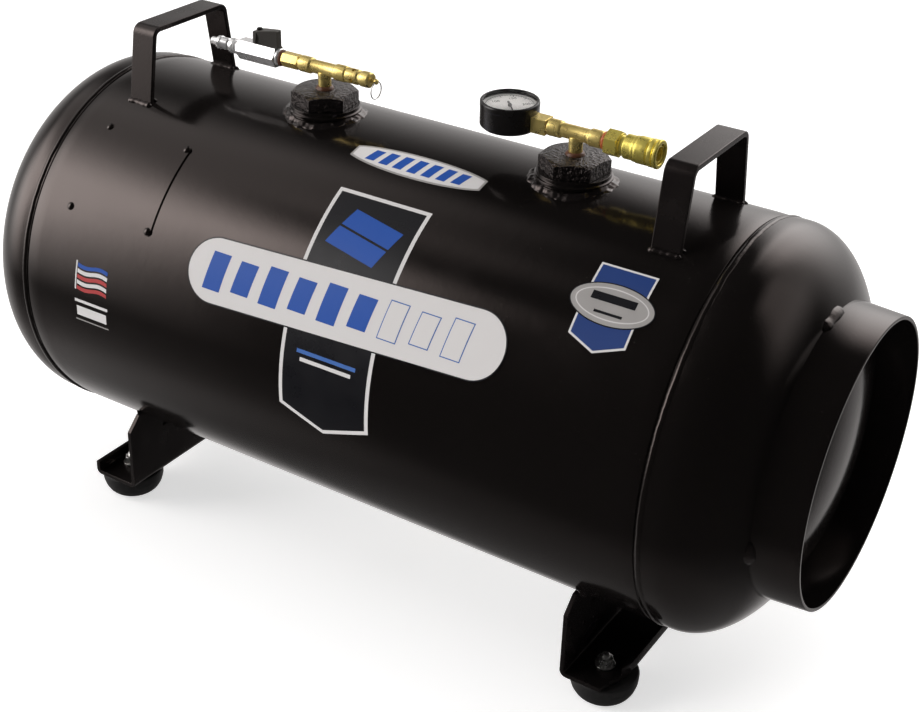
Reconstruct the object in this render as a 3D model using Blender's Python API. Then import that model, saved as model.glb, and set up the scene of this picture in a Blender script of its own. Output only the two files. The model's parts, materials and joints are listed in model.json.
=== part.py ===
"""Portable 20 gallon horizontal air receiver tank, as an assembly of separate solids.

The frame is +Z up, with the origin on the floor under the middle of the tank.
+X runs along the tank towards the end that carries the guard ring, and -Y is
the front, which carries the data plate.  Every size below is in millimetres,
and positions are given from the tank's axis: the builders at the top shift
them to the floor frame and turn them into metres.
"""
import math

import bmesh
import bpy
from mathutils import Matrix, Vector

MM = 0.001
GAP = 0.3                      # clearance between pieces that touch

# Pressure vessel
TANK_RADIUS = 177.8            # 14 in outside diameter
TANK_WALL = 2.8
SEAM_X = 317.6                 # half the length of the rolled shell
HEAD_FLANGE = 14.8             # straight part of a head
HEAD_DEPTH = 84.2              # dished part of a head
AXIS_HEIGHT = 236.0            # tank axis above the floor
TANK_STEPS = 40

# Guard ring on the right head
RING_RIM_X = 431.0
RING_RIM_RADIUS = 124.5
RING_BACK_X = 389.5
RING_BACK_RADIUS = 127.0
RING_WALL = 3.2

# The ring stands further out than the left head, so the tank sits off the origin
HEAD_TIP_X = SEAM_X + HEAD_FLANGE + HEAD_DEPTH
CENTRE_X = -(RING_RIM_X - HEAD_TIP_X) / 2

# Carrying handles, bent from flat bar
HANDLE_X = 269.0
HANDLE_WIDTH = 25.4
HANDLE_THICKNESS = 4.8
HANDLE_TOP_Z = 236.0
HANDLE_TOP_HALF = 50.0         # half width over the top corners
HANDLE_FOOT_HALF = 61.0        # half width where the legs meet the tank
HANDLE_BEND = 9.0

# Threaded bungs on top, and the fittings line that they carry
BUNG_X = {"left": -102.0, "right": 153.7}
BUNG_RADIUS = 33.0
BUNG_TOP_Z = 186.0
BUSHING_FLATS = 52.5
BUSHING_TOP_Z = 199.5
BUSHING_TURN = {"left": 38.5, "right": 24.0}
FITTING_Z = 217.5
TEE_HALF = 25.5
TEE_COLLAR_RADIUS = 7.3
THREAD_RADIUS = 5.9
PASSAGE_RADIUS = 3.0

# Feet
FOOT_X = 273.0
FOOT_Y = 108.5
FOOT_RADIUS = 30.5
PLATE_TOP_Z = -207.0           # top face of a bracket's base plate
PLATE_THICKNESS = 4.2
BRACKET_WEB_X = {"left": 245.5, "right": 249.0}     # outer face of the upright web
BRACKET_REACH = 47.5           # from the web to the edge of the base plate
BRACKET_HALF = 139.0
NOTCH_Y = (80.0, 94.0)         # a notch in each shoulder of the saddle
NOTCH_Z = -159.5
FLOOR_Z = -AXIS_HEIGHT

COLOURS = {
    "black_paint": ((0.012, 0.012, 0.013, 1), 0.18, 0.0),
    "rough_black": ((0.016, 0.015, 0.015, 1), 0.5, 0.2),
    "black_plastic": ((0.03, 0.03, 0.032, 1), 0.4, 0.0),
    "brass": ((0.72, 0.55, 0.22, 1), 0.3, 1.0),
    "chrome": ((0.85, 0.85, 0.86, 1), 0.12, 1.0),
    "steel": ((0.62, 0.61, 0.6, 1), 0.32, 1.0),
    "rubber": ((0.02, 0.02, 0.021, 1), 0.75, 0.0),
    "white_dial": ((0.85, 0.85, 0.83, 1), 0.5, 0.0),
    "clear": ((0.9, 0.92, 0.92, 1), 0.05, 0.0),
    "nylon": ((0.86, 0.85, 0.8, 1), 0.45, 0.0),
}
ALONG_X = Matrix.Rotation(math.radians(90), 4, "Y")
ALONG_Y = Matrix.Rotation(math.radians(-90), 4, "X")


# ---------------------------------------------------------------- builders
def clear_scene():
    for scene_object in list(bpy.data.objects):
        bpy.data.objects.remove(scene_object, do_unlink=True)


def material(name):
    """The Principled material of one finish, made once."""
    if name in bpy.data.materials:
        return bpy.data.materials[name]
    colour, roughness, metallic = COLOURS[name]
    finish = bpy.data.materials.new(name)
    finish.use_nodes = True
    shader = finish.node_tree.nodes["Principled BSDF"]
    shader.inputs["Base Color"].default_value = colour
    shader.inputs["Roughness"].default_value = roughness
    shader.inputs["Metallic"].default_value = metallic
    if name == "clear":
        shader.inputs["Transmission Weight"].default_value = 1.0
    return finish


def place(x, y, z):
    """A point measured from the tank's axis, in the floor frame and in metres."""
    return Vector((x + CENTRE_X, y, z + AXIS_HEIGHT)) * MM


def solid(name, points, faces, finish, origin=(0, 0, 0), turn=None):
    """An object from points in millimetres, turned and then set down at its origin."""
    mesh = bpy.data.meshes.new(name)
    turn = turn or Matrix.Identity(4)
    mesh.from_pydata([(turn @ Vector(p)) * MM for p in points], [], faces)
    editor = bmesh.new()
    editor.from_mesh(mesh)
    bmesh.ops.recalc_face_normals(editor, faces=editor.faces)
    editor.to_mesh(mesh)
    editor.free()
    mesh.shade_smooth()
    mesh.set_sharp_from_angle(angle=math.radians(35))
    mesh.materials.append(material(finish))
    piece = bpy.data.objects.new(name, mesh)
    piece.location = place(*origin)
    bpy.context.collection.objects.link(piece)
    return piece


def lathe(name, outline, finish, origin=(0, 0, 0), turn=None, steps=16):
    """A closed (radius, height) outline turned about Z. Points at radius 0 are poles."""
    points, rows, faces = [], [], []
    for radius, height in outline:
        if radius == 0:
            rows.append([len(points)] * steps)
            points.append((0, 0, height))
            continue
        rows.append(list(range(len(points), len(points) + steps)))
        for step in range(steps):
            angle = math.tau * step / steps
            points.append((radius * math.cos(angle), radius * math.sin(angle), height))
    for row, following in zip(rows, rows[1:] + rows[:1]):
        for step in range(steps):
            after = (step + 1) % steps
            corners = [row[step], row[after], following[after], following[step]]
            corners = list(dict.fromkeys(corners))
            if len(corners) > 2:
                faces.append(corners)
    return solid(name, points, faces, finish, origin, turn)


def prism(name, outline, low, high, finish, origin=(0, 0, 0), turn=None):
    """A flat outline pushed up along Z from low to high."""
    count = len(outline)
    points = [(x, y, low) for x, y in outline] + [(x, y, high) for x, y in outline]
    faces = [list(range(count)), list(range(count, 2 * count))]
    for index in range(count):
        after = (index + 1) % count
        faces.append([index, after, count + after, count + index])
    return solid(name, points, faces, finish, origin, turn)


def polygon(sides, flats, turn_degrees=0.0):
    """A regular polygon by its width across flats."""
    radius = flats / 2 / math.cos(math.pi / sides)
    turn = math.radians(turn_degrees)
    return [(radius * math.cos(turn + math.tau * i / sides),
             radius * math.sin(turn + math.tau * i / sides)) for i in range(sides)]


def sweep(name, path, radius, finish, sides=6, closed=False, origin=(0, 0, 0), turn=None):
    """A round wire along a path of points, with flat ends unless it is closed."""
    count = len(path)
    points, faces = [], []
    side = None
    for index, centre in enumerate(path):
        before = path[index - 1] if closed or index else centre
        after = path[(index + 1) % count] if closed or index < count - 1 else centre
        along = (Vector(after) - Vector(before)).normalized()
        if side is None:
            side = along.orthogonal().normalized()
        side = (side - along * side.dot(along)).normalized()
        across = along.cross(side)
        for step in range(sides):
            angle = math.tau * step / sides
            offset = side * math.cos(angle) + across * math.sin(angle)
            points.append(tuple(Vector(centre) + offset * radius))
    for index in range(count if closed else count - 1):
        row, following = index * sides, ((index + 1) % count) * sides
        for step in range(sides):
            after = (step + 1) % sides
            faces.append([row + step, row + after, following + after, following + step])
    if not closed:
        faces.append(list(range(sides)))
        faces.append(list(range((count - 1) * sides, count * sides)))
    return solid(name, points, faces, finish, origin, turn)


def carve(target, tool, operation="DIFFERENCE"):
    """Apply one exact Boolean to a piece, and remove the tool."""
    modifier = target.modifiers.new("carve", "BOOLEAN")
    modifier.operation = operation
    modifier.object = tool
    bpy.context.view_layer.update()
    shaped = target.evaluated_get(bpy.context.evaluated_depsgraph_get())
    mesh = bpy.data.meshes.new_from_object(shaped)
    target.modifiers.clear()
    target.data = mesh
    bpy.data.objects.remove(tool, do_unlink=True)
    mesh.shade_smooth()
    mesh.set_sharp_from_angle(angle=math.radians(35))
    return target


def rod(radius, low, high, origin, turn=None, steps=16):
    """A plain round tool for cutting or joining."""
    outline = [(0, low), (radius, low), (radius, high), (0, high)]
    return lathe("tool", outline, "steel", origin, turn, steps)


def arc(centre, radius, start, end, count):
    """Points of a round stretch of an outline, angles in degrees."""
    angles = [math.radians(start + (end - start) * i / (count - 1)) for i in range(count)]
    return [(centre[0] + radius * math.cos(a), centre[1] + radius * math.sin(a)) for a in angles]


# ---------------------------------------------------------------- vessel
def tank_shell():
    inner = TANK_RADIUS - TANK_WALL
    outline = [(inner, -SEAM_X), (TANK_RADIUS, -SEAM_X), (TANK_RADIUS, SEAM_X), (inner, SEAM_X)]
    shell = lathe("tank_shell", outline, "black_paint", turn=ALONG_X, steps=TANK_STEPS)
    for x in BUNG_X.values():
        carve(shell, rod(BUNG_RADIUS + GAP, 140, 200, (x, 0, 0), steps=24))
    return carve(shell, rod(DRAIN_BUNG_RADIUS + GAP, -200, -140, (DRAIN_X, 0, 0)))


def dished(radius, depth, rings):
    """The ellipse of a head's dish from its flange towards its crown, without the crown."""
    angles = [math.pi / 2 * ring / rings for ring in range(rings)]
    dish = SEAM_X + HEAD_FLANGE
    return [(radius * math.cos(angle), dish + depth * math.sin(angle)) for angle in angles]


def head(name, side):
    """A dished head: a straight flange and half an ellipsoid, open towards the shell."""
    inner = TANK_RADIUS - TANK_WALL
    rim = SEAM_X + GAP
    dish = SEAM_X + HEAD_FLANGE
    outline = [(inner, rim), (TANK_RADIUS, rim)]
    outline += dished(TANK_RADIUS, HEAD_DEPTH, 7)
    outline += [(0, dish + HEAD_DEPTH), (0, dish + HEAD_DEPTH - TANK_WALL)]
    outline += dished(inner, HEAD_DEPTH - TANK_WALL, 5)[::-1]
    turn = Matrix.Rotation(math.radians(90 * side), 4, "Y")
    return lathe(name, outline, "black_paint", turn=turn, steps=TANK_STEPS)


def guard_ring():
    """The slightly tapered band welded to the right head, cut to fit the dish."""
    band = lathe("guard_ring", [
        (RING_BACK_RADIUS - RING_WALL, RING_BACK_X - 12), (RING_BACK_RADIUS, RING_BACK_X - 12),
        (RING_RIM_RADIUS, RING_RIM_X), (RING_RIM_RADIUS - RING_WALL, RING_RIM_X),
    ], "black_paint", turn=ALONG_X, steps=TANK_STEPS)
    grown = TANK_RADIUS + GAP
    dish = SEAM_X + HEAD_FLANGE
    outline = [(0, dish - 50), (grown, dish - 50)]
    outline += dished(grown, HEAD_DEPTH + GAP, 7)
    outline.append((0, dish + HEAD_DEPTH + GAP))
    return carve(band, lathe("tool", outline, "steel", turn=ALONG_X, steps=TANK_STEPS))


def tank_cutter():
    """The outside of the shell, grown by the gap, for pieces that sit on it."""
    length = SEAM_X - 1
    outline = [(0, -length), (TANK_RADIUS + GAP, -length), (TANK_RADIUS + GAP, length), (0, length)]
    return lathe("tool", outline, "steel", turn=ALONG_X, steps=TANK_STEPS)


def handle(name, x):
    """Flat bar bent into a U across the tank, with its legs splayed outwards."""
    outer_corner = Vector((HANDLE_TOP_HALF, HANDLE_TOP_Z))
    foot_z = 150.0
    splay = math.atan2(HANDLE_FOOT_HALF - HANDLE_TOP_HALF, HANDLE_TOP_Z - 168)
    spread = (HANDLE_TOP_Z - foot_z) * math.tan(splay)
    bend = 90 - math.degrees(splay)

    def bent(radius, inset):
        """One face of the bar from the middle of the top to the foot."""
        slope = math.radians(90 - bend)
        setback = HANDLE_BEND * math.tan((math.pi / 2 - slope) / 2)
        centre = (outer_corner.x - setback, outer_corner.y - HANDLE_BEND)
        points = arc(centre, radius, 90, 90 - bend, 6)
        foot = (outer_corner.x + spread - inset / math.cos(slope), foot_z)
        return points + [foot]

    outer = bent(HANDLE_BEND, 0)
    inner = bent(HANDLE_BEND - HANDLE_THICKNESS, HANDLE_THICKNESS)
    outline = [(-y, z) for y, z in outer[::-1]] + outer
    outline += inner[::-1] + [(-y, z) for y, z in inner]
    # The outline is drawn in (y, z) and pushed along X.
    turn = Matrix(((0, 0, 1, 0), (1, 0, 0, 0), (0, 1, 0, 0), (0, 0, 0, 1)))
    half = HANDLE_WIDTH / 2
    bar = prism(name, outline, -half, half, "black_paint", (x, 0, 0), turn)
    return carve(bar, tank_cutter())


# ---------------------------------------------------------------- bungs
def bung(side):
    """Welding coupling with two turned grooves, standing in its hole in the shell."""
    low, groove = 167.0, BUNG_RADIUS - 1.4
    outline = [
        (22.6, low), (BUNG_RADIUS, low), (BUNG_RADIUS, 178.2), (groove, 178.8), (groove, 179.6),
        (BUNG_RADIUS, 180.2), (BUNG_RADIUS, 182.2), (groove, 183.0), (groove, BUNG_TOP_Z),
        (22.6, BUNG_TOP_Z),
    ]
    return lathe(f"bung_{side}", outline, "rough_black", (BUNG_X[side], 0, 0), steps=24)


def bushing(side):
    """Hexagon reducing bushing: a chamfered hexagon over its threaded body, bored through."""
    x = BUNG_X[side]
    low = BUNG_TOP_Z + GAP
    name = f"reducing_bushing_{side}"
    outline = polygon(6, BUSHING_FLATS, BUSHING_TURN[side])
    piece = prism(name, outline, low, BUSHING_TOP_Z, "rough_black", (x, 0, 0))
    corner = BUSHING_FLATS / 2 / math.cos(math.pi / 6)
    chamfer = [(0, low - 1), (corner + 1, low - 1), (corner + 1, BUSHING_TOP_Z - 3),
               (corner - 4.4, BUSHING_TOP_Z), (0, BUSHING_TOP_Z)]
    carve(piece, lathe("tool", chamfer, "steel", (x, 0, 0), steps=24), "INTERSECT")
    carve(piece, rod(22.2, 168, low + 2, (x, 0, 0), steps=24), "UNION")
    return carve(piece, rod(THREAD_RADIUS + GAP, 160, 205, (x, 0, 0)))


# ---------------------------------------------------------------- fittings line
def tee(side):
    """Street tee: two collared female ends in line and a male branch down into the bushing."""
    origin = (BUNG_X[side], 0, FITTING_Z)
    collar, neck = TEE_COLLAR_RADIUS, 6.2
    inner_end = TEE_HALF - 12.5
    half = [(collar, TEE_HALF), (collar, inner_end + 0.8), (neck, inner_end)]
    outline = [(0, TEE_HALF)] + half + [(r, -h) for r, h in half[::-1]] + [(0, -TEE_HALF)]
    piece = lathe(f"tee_{side}", outline, "brass", origin, ALONG_X)
    stem = [(0, 170 - FITTING_Z), (THREAD_RADIUS, 170 - FITTING_Z), (THREAD_RADIUS, 0), (0, 0)]
    carve(piece, lathe("tool", stem, "steel", origin), "UNION")
    port = THREAD_RADIUS + GAP
    depth = TEE_HALF - 11
    bore = [(0, TEE_HALF + 1), (port, TEE_HALF + 1), (port, depth), (PASSAGE_RADIUS, depth)]
    bore = bore + [(r, -h) for r, h in bore[::-1]]
    carve(piece, lathe("tool", bore, "steel", origin, ALONG_X))
    return carve(piece, rod(PASSAGE_RADIUS, -60, 1, origin, steps=8))


# Ball valve and plug, left of the left tee.  Stations run along X from the tank's middle.
VALVE_X = -174.5
VALVE_LEFT_X = -196.4
VALVE_RIGHT_X = -150.0
VALVE_FLATS = 17.6
BALL_RADIUS = 6.0
BALL_CHAMBER = 6.6
TEE_LEFT_END = BUNG_X["left"] - TEE_HALF


def valve_nipple():
    """Hexagon nipple that joins the left tee to the ball valve."""
    middle = (VALVE_RIGHT_X + TEE_LEFT_END) / 2
    reach = (TEE_LEFT_END - VALVE_RIGHT_X) / 2
    origin = (middle, 0, FITTING_Z)
    outer = reach + 9
    outline = [(PASSAGE_RADIUS, -outer), (THREAD_RADIUS - 0.5, -outer), (THREAD_RADIUS, 2 - outer),
               (THREAD_RADIUS, outer - 2), (THREAD_RADIUS - 0.5, outer), (PASSAGE_RADIUS, outer)]
    nipple = lathe("valve_nipple", outline, "brass", origin, ALONG_X)
    nut = prism("tool", polygon(6, 12.4, 30), 3.2 - reach, reach - 1.5, "brass", origin, ALONG_X)
    carve(nut, rod(PASSAGE_RADIUS + 1, -20, 20, origin, ALONG_X))
    return carve(nipple, nut, "UNION")


def valve_body():
    """Chromed hexagon-bar body with a ball chamber, a stem hole on top and two female ports."""
    origin = (VALVE_X, 0, FITTING_Z)
    low, high = VALVE_LEFT_X - VALVE_X, VALVE_RIGHT_X - VALVE_X
    body = prism("ball_valve_body", polygon(6, VALVE_FLATS, 30), low, high - 3, "chrome",
                 origin, ALONG_X)
    collar = [(0, low - 2.5), (7.4, low - 2.5), (8.2, low - 1.5), (8.2, high - 1),
              (7.6, high), (0, high)]
    carve(body, lathe("tool", collar, "chrome", origin, ALONG_X), "UNION")
    port = THREAD_RADIUS + GAP
    bore = [(0, low - 4), (port, low - 4), (port, low + 9), (PASSAGE_RADIUS, low + 9.5),
            (PASSAGE_RADIUS, -9.4), (BALL_CHAMBER, -9.4), (BALL_CHAMBER, 9.4),
            (PASSAGE_RADIUS, 9.4), (PASSAGE_RADIUS, high - 10.5), (port, high - 10),
            (port, high + 1), (0, high + 1)]
    carve(body, lathe("tool", bore, "chrome", origin, ALONG_X))
    return carve(body, rod(2.5 + GAP, 4, 14, origin, steps=12))


def valve_ball():
    """Bored ball with a drive slot on top, seen open."""
    origin = (VALVE_X, 0, FITTING_Z)
    outline = [(0, -BALL_RADIUS)]
    outline += arc((0, 0), BALL_RADIUS, -60, 60, 5)
    outline += [(0, BALL_RADIUS)]
    ball = lathe("valve_ball", outline, "chrome", origin, steps=16)
    carve(ball, rod(PASSAGE_RADIUS, -10, 10, origin, ALONG_X, steps=16))
    slot = [(-9, -1.3), (9, -1.3), (9, 1.3), (-9, 1.3)]
    return carve(ball, prism("tool", slot, 4.2, 9, "steel", origin))


def valve_seat(name, side):
    """Nylon ring that the ball turns against."""
    origin = (VALVE_X, 0, FITTING_Z)
    inner_edge = math.sqrt((BALL_RADIUS + GAP) ** 2 - 3.4 ** 2)
    outer_edge = math.sqrt((BALL_RADIUS + GAP) ** 2 - 5.2 ** 2)
    outline = [(3.4, 9.1), (BALL_CHAMBER - GAP, 9.1), (BALL_CHAMBER - GAP, outer_edge),
               (5.2, outer_edge + 0.1), (3.4, inner_edge + 0.1)]
    turn = Matrix.Rotation(math.radians(90 * side), 4, "Y")
    return lathe(name, outline, "nylon", origin, turn, steps=20)


def valve_stem():
    """Stem with a tongue in the ball's slot and a squared top in the lever."""
    origin = (VALVE_X, 0, FITTING_Z)
    stem = lathe("valve_stem", [(0, 6.4), (2.5, 6.4), (2.5, 9.4), (1.9, 10), (1.9, 13.4), (0, 13.4)],
                 "chrome", origin, steps=16)
    tongue = [(-2.2, -1.0), (2.2, -1.0), (2.2, 1.0), (-2.2, 1.0)]
    return carve(stem, prism("tool", tongue, 4.6, 7.2, "steel", origin), "UNION")


def valve_lever():
    """Moulded wedge lever: rises and narrows towards its tip, and is hollow over the stem."""
    origin = (VALVE_X, 0, FITTING_Z)
    base = VALVE_FLATS / 2 + GAP
    side_view = [(-5.5, base), (22, base), (22, 24), (21, 24.6), (-3, 20.9), (-4.6, 19.8)]
    turn = Matrix.Rotation(math.radians(90), 4, "X")
    lever = prism("valve_lever", side_view, -7, 7, "black_plastic", origin, turn)
    half = [(22, 3.2), (3, 5.6), (-3.5, 5.6), (-5.4, 4.2)]
    plan = half + [(x, -y) for x, y in half[::-1]]
    carve(lever, prism("tool", plan, base - 1, 26, "black_plastic", origin), "INTERSECT")
    wedge = [(-1.2, base + 0.8), (6.5, base + 0.8), (0.3, base + 10.2)]
    for low, high in ((-7, -4.1), (4.1, 7)):
        carve(lever, prism("tool", wedge, low, high, "black_plastic", origin, turn))
    carve(lever, rod(2.5 + GAP, base - 1, 13.4 + GAP, origin, steps=16))
    return carve(lever, rod(1.3 + GAP, 13, 26, origin, steps=12))


def lever_screw():
    """Screw down through the lever into the stem."""
    outline = [(0, 13.7), (1.3, 13.7), (1.3, 22.1), (2.8, 22.1), (2.8, 22.8), (2.0, 23.4), (0, 23.4)]
    return lathe("lever_screw", outline, "steel", (VALVE_X, 0, FITTING_Z), steps=12)


def inlet_plug():
    """Male quick-connect plug screwed into the valve's left port."""
    outline = [
        (2.6, 0), (THREAD_RADIUS - 0.5, 0), (THREAD_RADIUS, -1.5), (THREAD_RADIUS, -8.2),
        (5.3, -8.4), (5.3, -11.4), (7.0, -12), (7.0, -16.8), (4.6, -17.6), (4.6, -19.6),
        (5.5, -20.4), (5.5, -28), (6.1, -28.6), (6.1, -32.2), (3.8, -33.4), (3.8, -39.6),
        (3.2, -40.5), (2.6, -40.5),
    ]
    left_end = VALVE_LEFT_X - 2.5
    return lathe("inlet_plug", outline, "chrome", (left_end + 8, 0, FITTING_Z), ALONG_X)


# Safety relief valve, right of the left tee
RELIEF_X = BUNG_X["left"] + TEE_HALF
RELIEF_EYE = 30.5              # pull eye, from the valve's shoulder


def relief_body():
    """Turned safety valve body with vent holes and a spring chamber."""
    origin = (RELIEF_X, 0, FITTING_Z)
    outline = [
        (2.4, -9), (THREAD_RADIUS - 0.5, -9), (THREAD_RADIUS, -8), (THREAD_RADIUS, GAP),
        (6.5, GAP), (6.8, 0.8), (6.8, 12.4), (5.9, 13.2), (5.9, 15.6), (7.0, 16.4), (7.0, 24.2),
        (6.1, 26), (2.1, 26), (2.1, 24.4), (5.2, 23.8), (5.2, 7), (3.6, 6), (2.4, 6),
    ]
    body = lathe("relief_valve_body", outline, "brass", origin, ALONG_X)
    return carve(body, rod(1.7, -10, 10, (RELIEF_X + 9, 0, FITTING_Z), ALONG_Y, steps=12))


def relief_stem():
    """Valve disc and spindle, ending in the eye for the pull ring."""
    origin = (RELIEF_X, 0, FITTING_Z)
    outline = [(0, 6.4), (3.3, 6.4), (4.8, 7.6), (4.8, 9.4), (1.5, 9.8), (1.5, RELIEF_EYE - 2),
               (2.3, RELIEF_EYE - 1), (2.3, RELIEF_EYE + 1), (1.2, RELIEF_EYE + 2),
               (0, RELIEF_EYE + 2)]
    stem = lathe("relief_valve_stem", outline, "steel", origin, ALONG_X, steps=16)
    return carve(stem, rod(1.0, -5, 5, (RELIEF_X + RELIEF_EYE, 0, FITTING_Z), ALONG_Y, steps=12))


def coil(name, radius, wire, low, high, turns, origin, steps=8):
    """Compression spring wound about X."""
    count = turns * steps
    path = []
    for index in range(count + 1):
        angle = math.tau * index / steps
        rise = low + (high - low) * index / count
        path.append((rise, radius * math.cos(angle), radius * math.sin(angle)))
    return sweep(name, path, wire, "steel", sides=4, origin=origin)


def pull_ring():
    """Wire ring that hangs from the eye; its origin is the swing axis."""
    radius = 7.8
    path = []
    for step in range(24):
        angle = math.tau * step / 24
        path.append((0, radius * math.sin(angle), radius * math.cos(angle) - radius))
    origin = (RELIEF_X + RELIEF_EYE, 0, FITTING_Z)
    return sweep("pull_ring", path, 0.6, "steel", sides=5, closed=True, origin=origin)


# Pressure gauge, left of the right tee, lying face up and tipped forward a little
TEE_RIGHT_START = BUNG_X["right"] - TEE_HALF
GAUGE_X = 90.0
GAUGE_RADIUS = 25.2
GAUGE_TILT = Matrix.Rotation(math.radians(1.5), 4, "X")
GAUGE_BACK = -8.8
GAUGE_FRONT = 14.8
GAUGE_ORIGIN = (GAUGE_X, 0, FITTING_Z)
SOCKET_FLATS = 13.4


def gauge_case():
    """Pressed case: an open cup with a turned-in bezel and a hole for the socket."""
    wall = 1.1
    inside = GAUGE_RADIUS - wall
    outline = [(0, GAUGE_BACK), (GAUGE_RADIUS - 2, GAUGE_BACK), (GAUGE_RADIUS, GAUGE_BACK + 2),
               (GAUGE_RADIUS, GAUGE_FRONT - 1), (GAUGE_RADIUS - 0.8, GAUGE_FRONT),
               (GAUGE_RADIUS - 2.2, GAUGE_FRONT), (GAUGE_RADIUS - 2.2, GAUGE_FRONT - 1.2),
               (inside, GAUGE_FRONT - 1.4), (inside, GAUGE_BACK + 2.5),
               (inside - 2, GAUGE_BACK + wall), (0, GAUGE_BACK + wall)]
    case = lathe("gauge_case", outline, "black_plastic", GAUGE_ORIGIN, GAUGE_TILT, steps=32)
    hole = prism("tool", polygon(4, SOCKET_FLATS + 2 * GAP, 45), 20, 40, "steel",
                 GAUGE_ORIGIN, GAUGE_TILT @ ALONG_X)
    return carve(case, hole)


def gauge_socket():
    """Square brass socket: a block inside the case, wrench flats outside, and a male thread."""
    reach = TEE_RIGHT_START - GAUGE_X
    turn = GAUGE_TILT @ ALONG_X
    socket = prism("gauge_socket", polygon(4, SOCKET_FLATS, 45), 10, reach - GAP, "brass",
                   GAUGE_ORIGIN, turn)
    thread = [(0, 20), (THREAD_RADIUS, 20), (THREAD_RADIUS, reach + 7),
              (THREAD_RADIUS - 0.5, reach + 8), (0, reach + 8)]
    carve(socket, lathe("tool", thread, "brass", GAUGE_ORIGIN, turn), "UNION")
    return carve(socket, rod(1.6, 14, reach + 12, GAUGE_ORIGIN, turn, steps=12))


def bourdon_tube():
    """Flattened C-shaped tube that uncurls with pressure, standing off the socket."""
    inner, outer = 18.0, 20.4
    outline = arc((0, 0), outer, 36, 318, 22) + arc((0, 0), inner, 318, 36, 22)
    return prism("bourdon_tube", outline, -3.4, 3.4, "brass", GAUGE_ORIGIN, GAUGE_TILT)


def gauge_dial():
    """Dial plate on its seat in the case, with a hole for the pointer shaft."""
    return lathe("gauge_dial", [(1.3, 8.4), (GAUGE_RADIUS - 1.5, 8.4), (GAUGE_RADIUS - 1.5, 9.2),
                                (1.3, 9.2)], "white_dial", GAUGE_ORIGIN, GAUGE_TILT, steps=24)


def gauge_lens():
    """Clear lens held under the bezel."""
    rim = GAUGE_RADIUS - 1.1 - GAP
    top = GAUGE_FRONT - 1.4 - GAP
    return lathe("gauge_lens", [(0, top - 1.2), (rim, top - 1.2), (rim, top - 0.2), (rim - 1, top),
                                (0, top)], "clear", GAUGE_ORIGIN, GAUGE_TILT, steps=32)


def gauge_pointer():
    """Pointer with its hub and shaft, at the zero of the scale."""
    zero = Matrix.Rotation(math.radians(-45), 4, "Z")
    turn = GAUGE_TILT @ zero
    pointer = lathe("gauge_pointer", [(0, 4), (0.9, 4), (0.9, 9.5), (2.4, 9.5), (2.4, 10.7),
                                      (0, 10.7)], "black_plastic", GAUGE_ORIGIN, turn, steps=16)
    needle = [(-7, -1.3), (0, -0.9), (19, -0.35), (19, 0.35), (0, 0.9), (-7, 1.3)]
    return carve(pointer, prism("tool", needle, 9.8, 10.4, "steel", GAUGE_ORIGIN, turn), "UNION")


# Quick coupler, right of the right tee
COUPLER_X = BUNG_X["right"] + TEE_HALF
COUPLER_NUT = (3.5, 15.5)      # hexagon, from the tee's end face
SLEEVE = (20.0, 51.0)          # sleeve at rest: it slides 3 mm back towards the nut


def coupler_body():
    """Threaded body: hexagon, then the tube that the sleeve slides on, with its stop ring."""
    origin = (COUPLER_X, 0, FITTING_Z)
    low, high = COUPLER_NUT
    outline = [(3.4, -8), (THREAD_RADIUS - 0.5, -8), (THREAD_RADIUS, -7), (THREAD_RADIUS, low),
               (9.4, low), (9.4, 16.3), (7.9, 16.5), (7.9, 36.9), (8.9, 36.9), (8.9, 37.2),
               (7.9, 37.2), (7.9, 48.6), (7.2, 49.6), (6.1, 49.6),
               (6.1, 30.6), (5.0, 29.6), (5.0, 18.0), (3.4, 17.0)]
    body = lathe("coupler_body", outline, "brass", origin, ALONG_X)
    nut = prism("tool", polygon(6, 20.0, 0), low, high, "brass", origin, ALONG_X)
    carve(nut, rod(8.5, 0, 40, origin, ALONG_X))
    return carve(body, nut, "UNION")


def coupler_sleeve():
    """Grooved sleeve with a flanged mouth."""
    low, high = SLEEVE
    outline = [
        (8.3, low), (9.7, low), (10.2, low + 0.8), (10.2, low + 8), (11.3, low + 11),
        (11.3, high - 9.6), (10.5, high - 9), (11.6, high - 8.2), (11.6, high - 4.2),
        (10.7, high - 3.6), (12.0, high - 2.7), (12.0, high - 0.7), (11.2, high), (8.3, high),
        (8.3, high - 6), (9.4, high - 7), (9.4, low + 7), (8.3, low + 6),
    ]
    return lathe("coupler_sleeve", outline, "brass", (COUPLER_X, 0, FITTING_Z), ALONG_X)


def coupler_poppet():
    """Check valve that a plug pushes off its seat."""
    outline = [(0, 20.4), (1.6, 20.4), (1.6, 27.2), (4.6, 27.2), (4.6, 29.2), (3.0, 31.2), (1.9, 34),
               (0, 34)]
    return lathe("coupler_poppet", outline, "brass", (COUPLER_X, 0, FITTING_Z), ALONG_X, steps=16)


# Condensate drain, under the middle of the tank
DRAIN_X = 25.0
DRAIN_BUNG_RADIUS = 11.0


def drain_bung():
    outline = [(THREAD_RADIUS + GAP, -186), (DRAIN_BUNG_RADIUS, -186), (DRAIN_BUNG_RADIUS, -172),
               (THREAD_RADIUS + GAP, -172)]
    return lathe("drain_bung", outline, "black_paint", (DRAIN_X, 0, 0))


def drain_cock():
    """Drain cock body with a hexagon, a screwed seat and an outlet at its foot."""
    origin = (DRAIN_X, 0, 0)
    outline = [(2.4, -174), (THREAD_RADIUS, -174), (THREAD_RADIUS, -192), (6.2, -193),
               (6.2, -201), (3.0, -201), (3.0, -196), (2.4, -196)]
    body = lathe("drain_cock_body", outline, "brass", origin, steps=20)
    nut = prism("tool", polygon(6, 14.0, 0), -192.5, -186.6, "brass", origin)
    carve(nut, rod(4, -200, -180, origin, steps=16))
    return carve(body, nut, "UNION")


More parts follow.
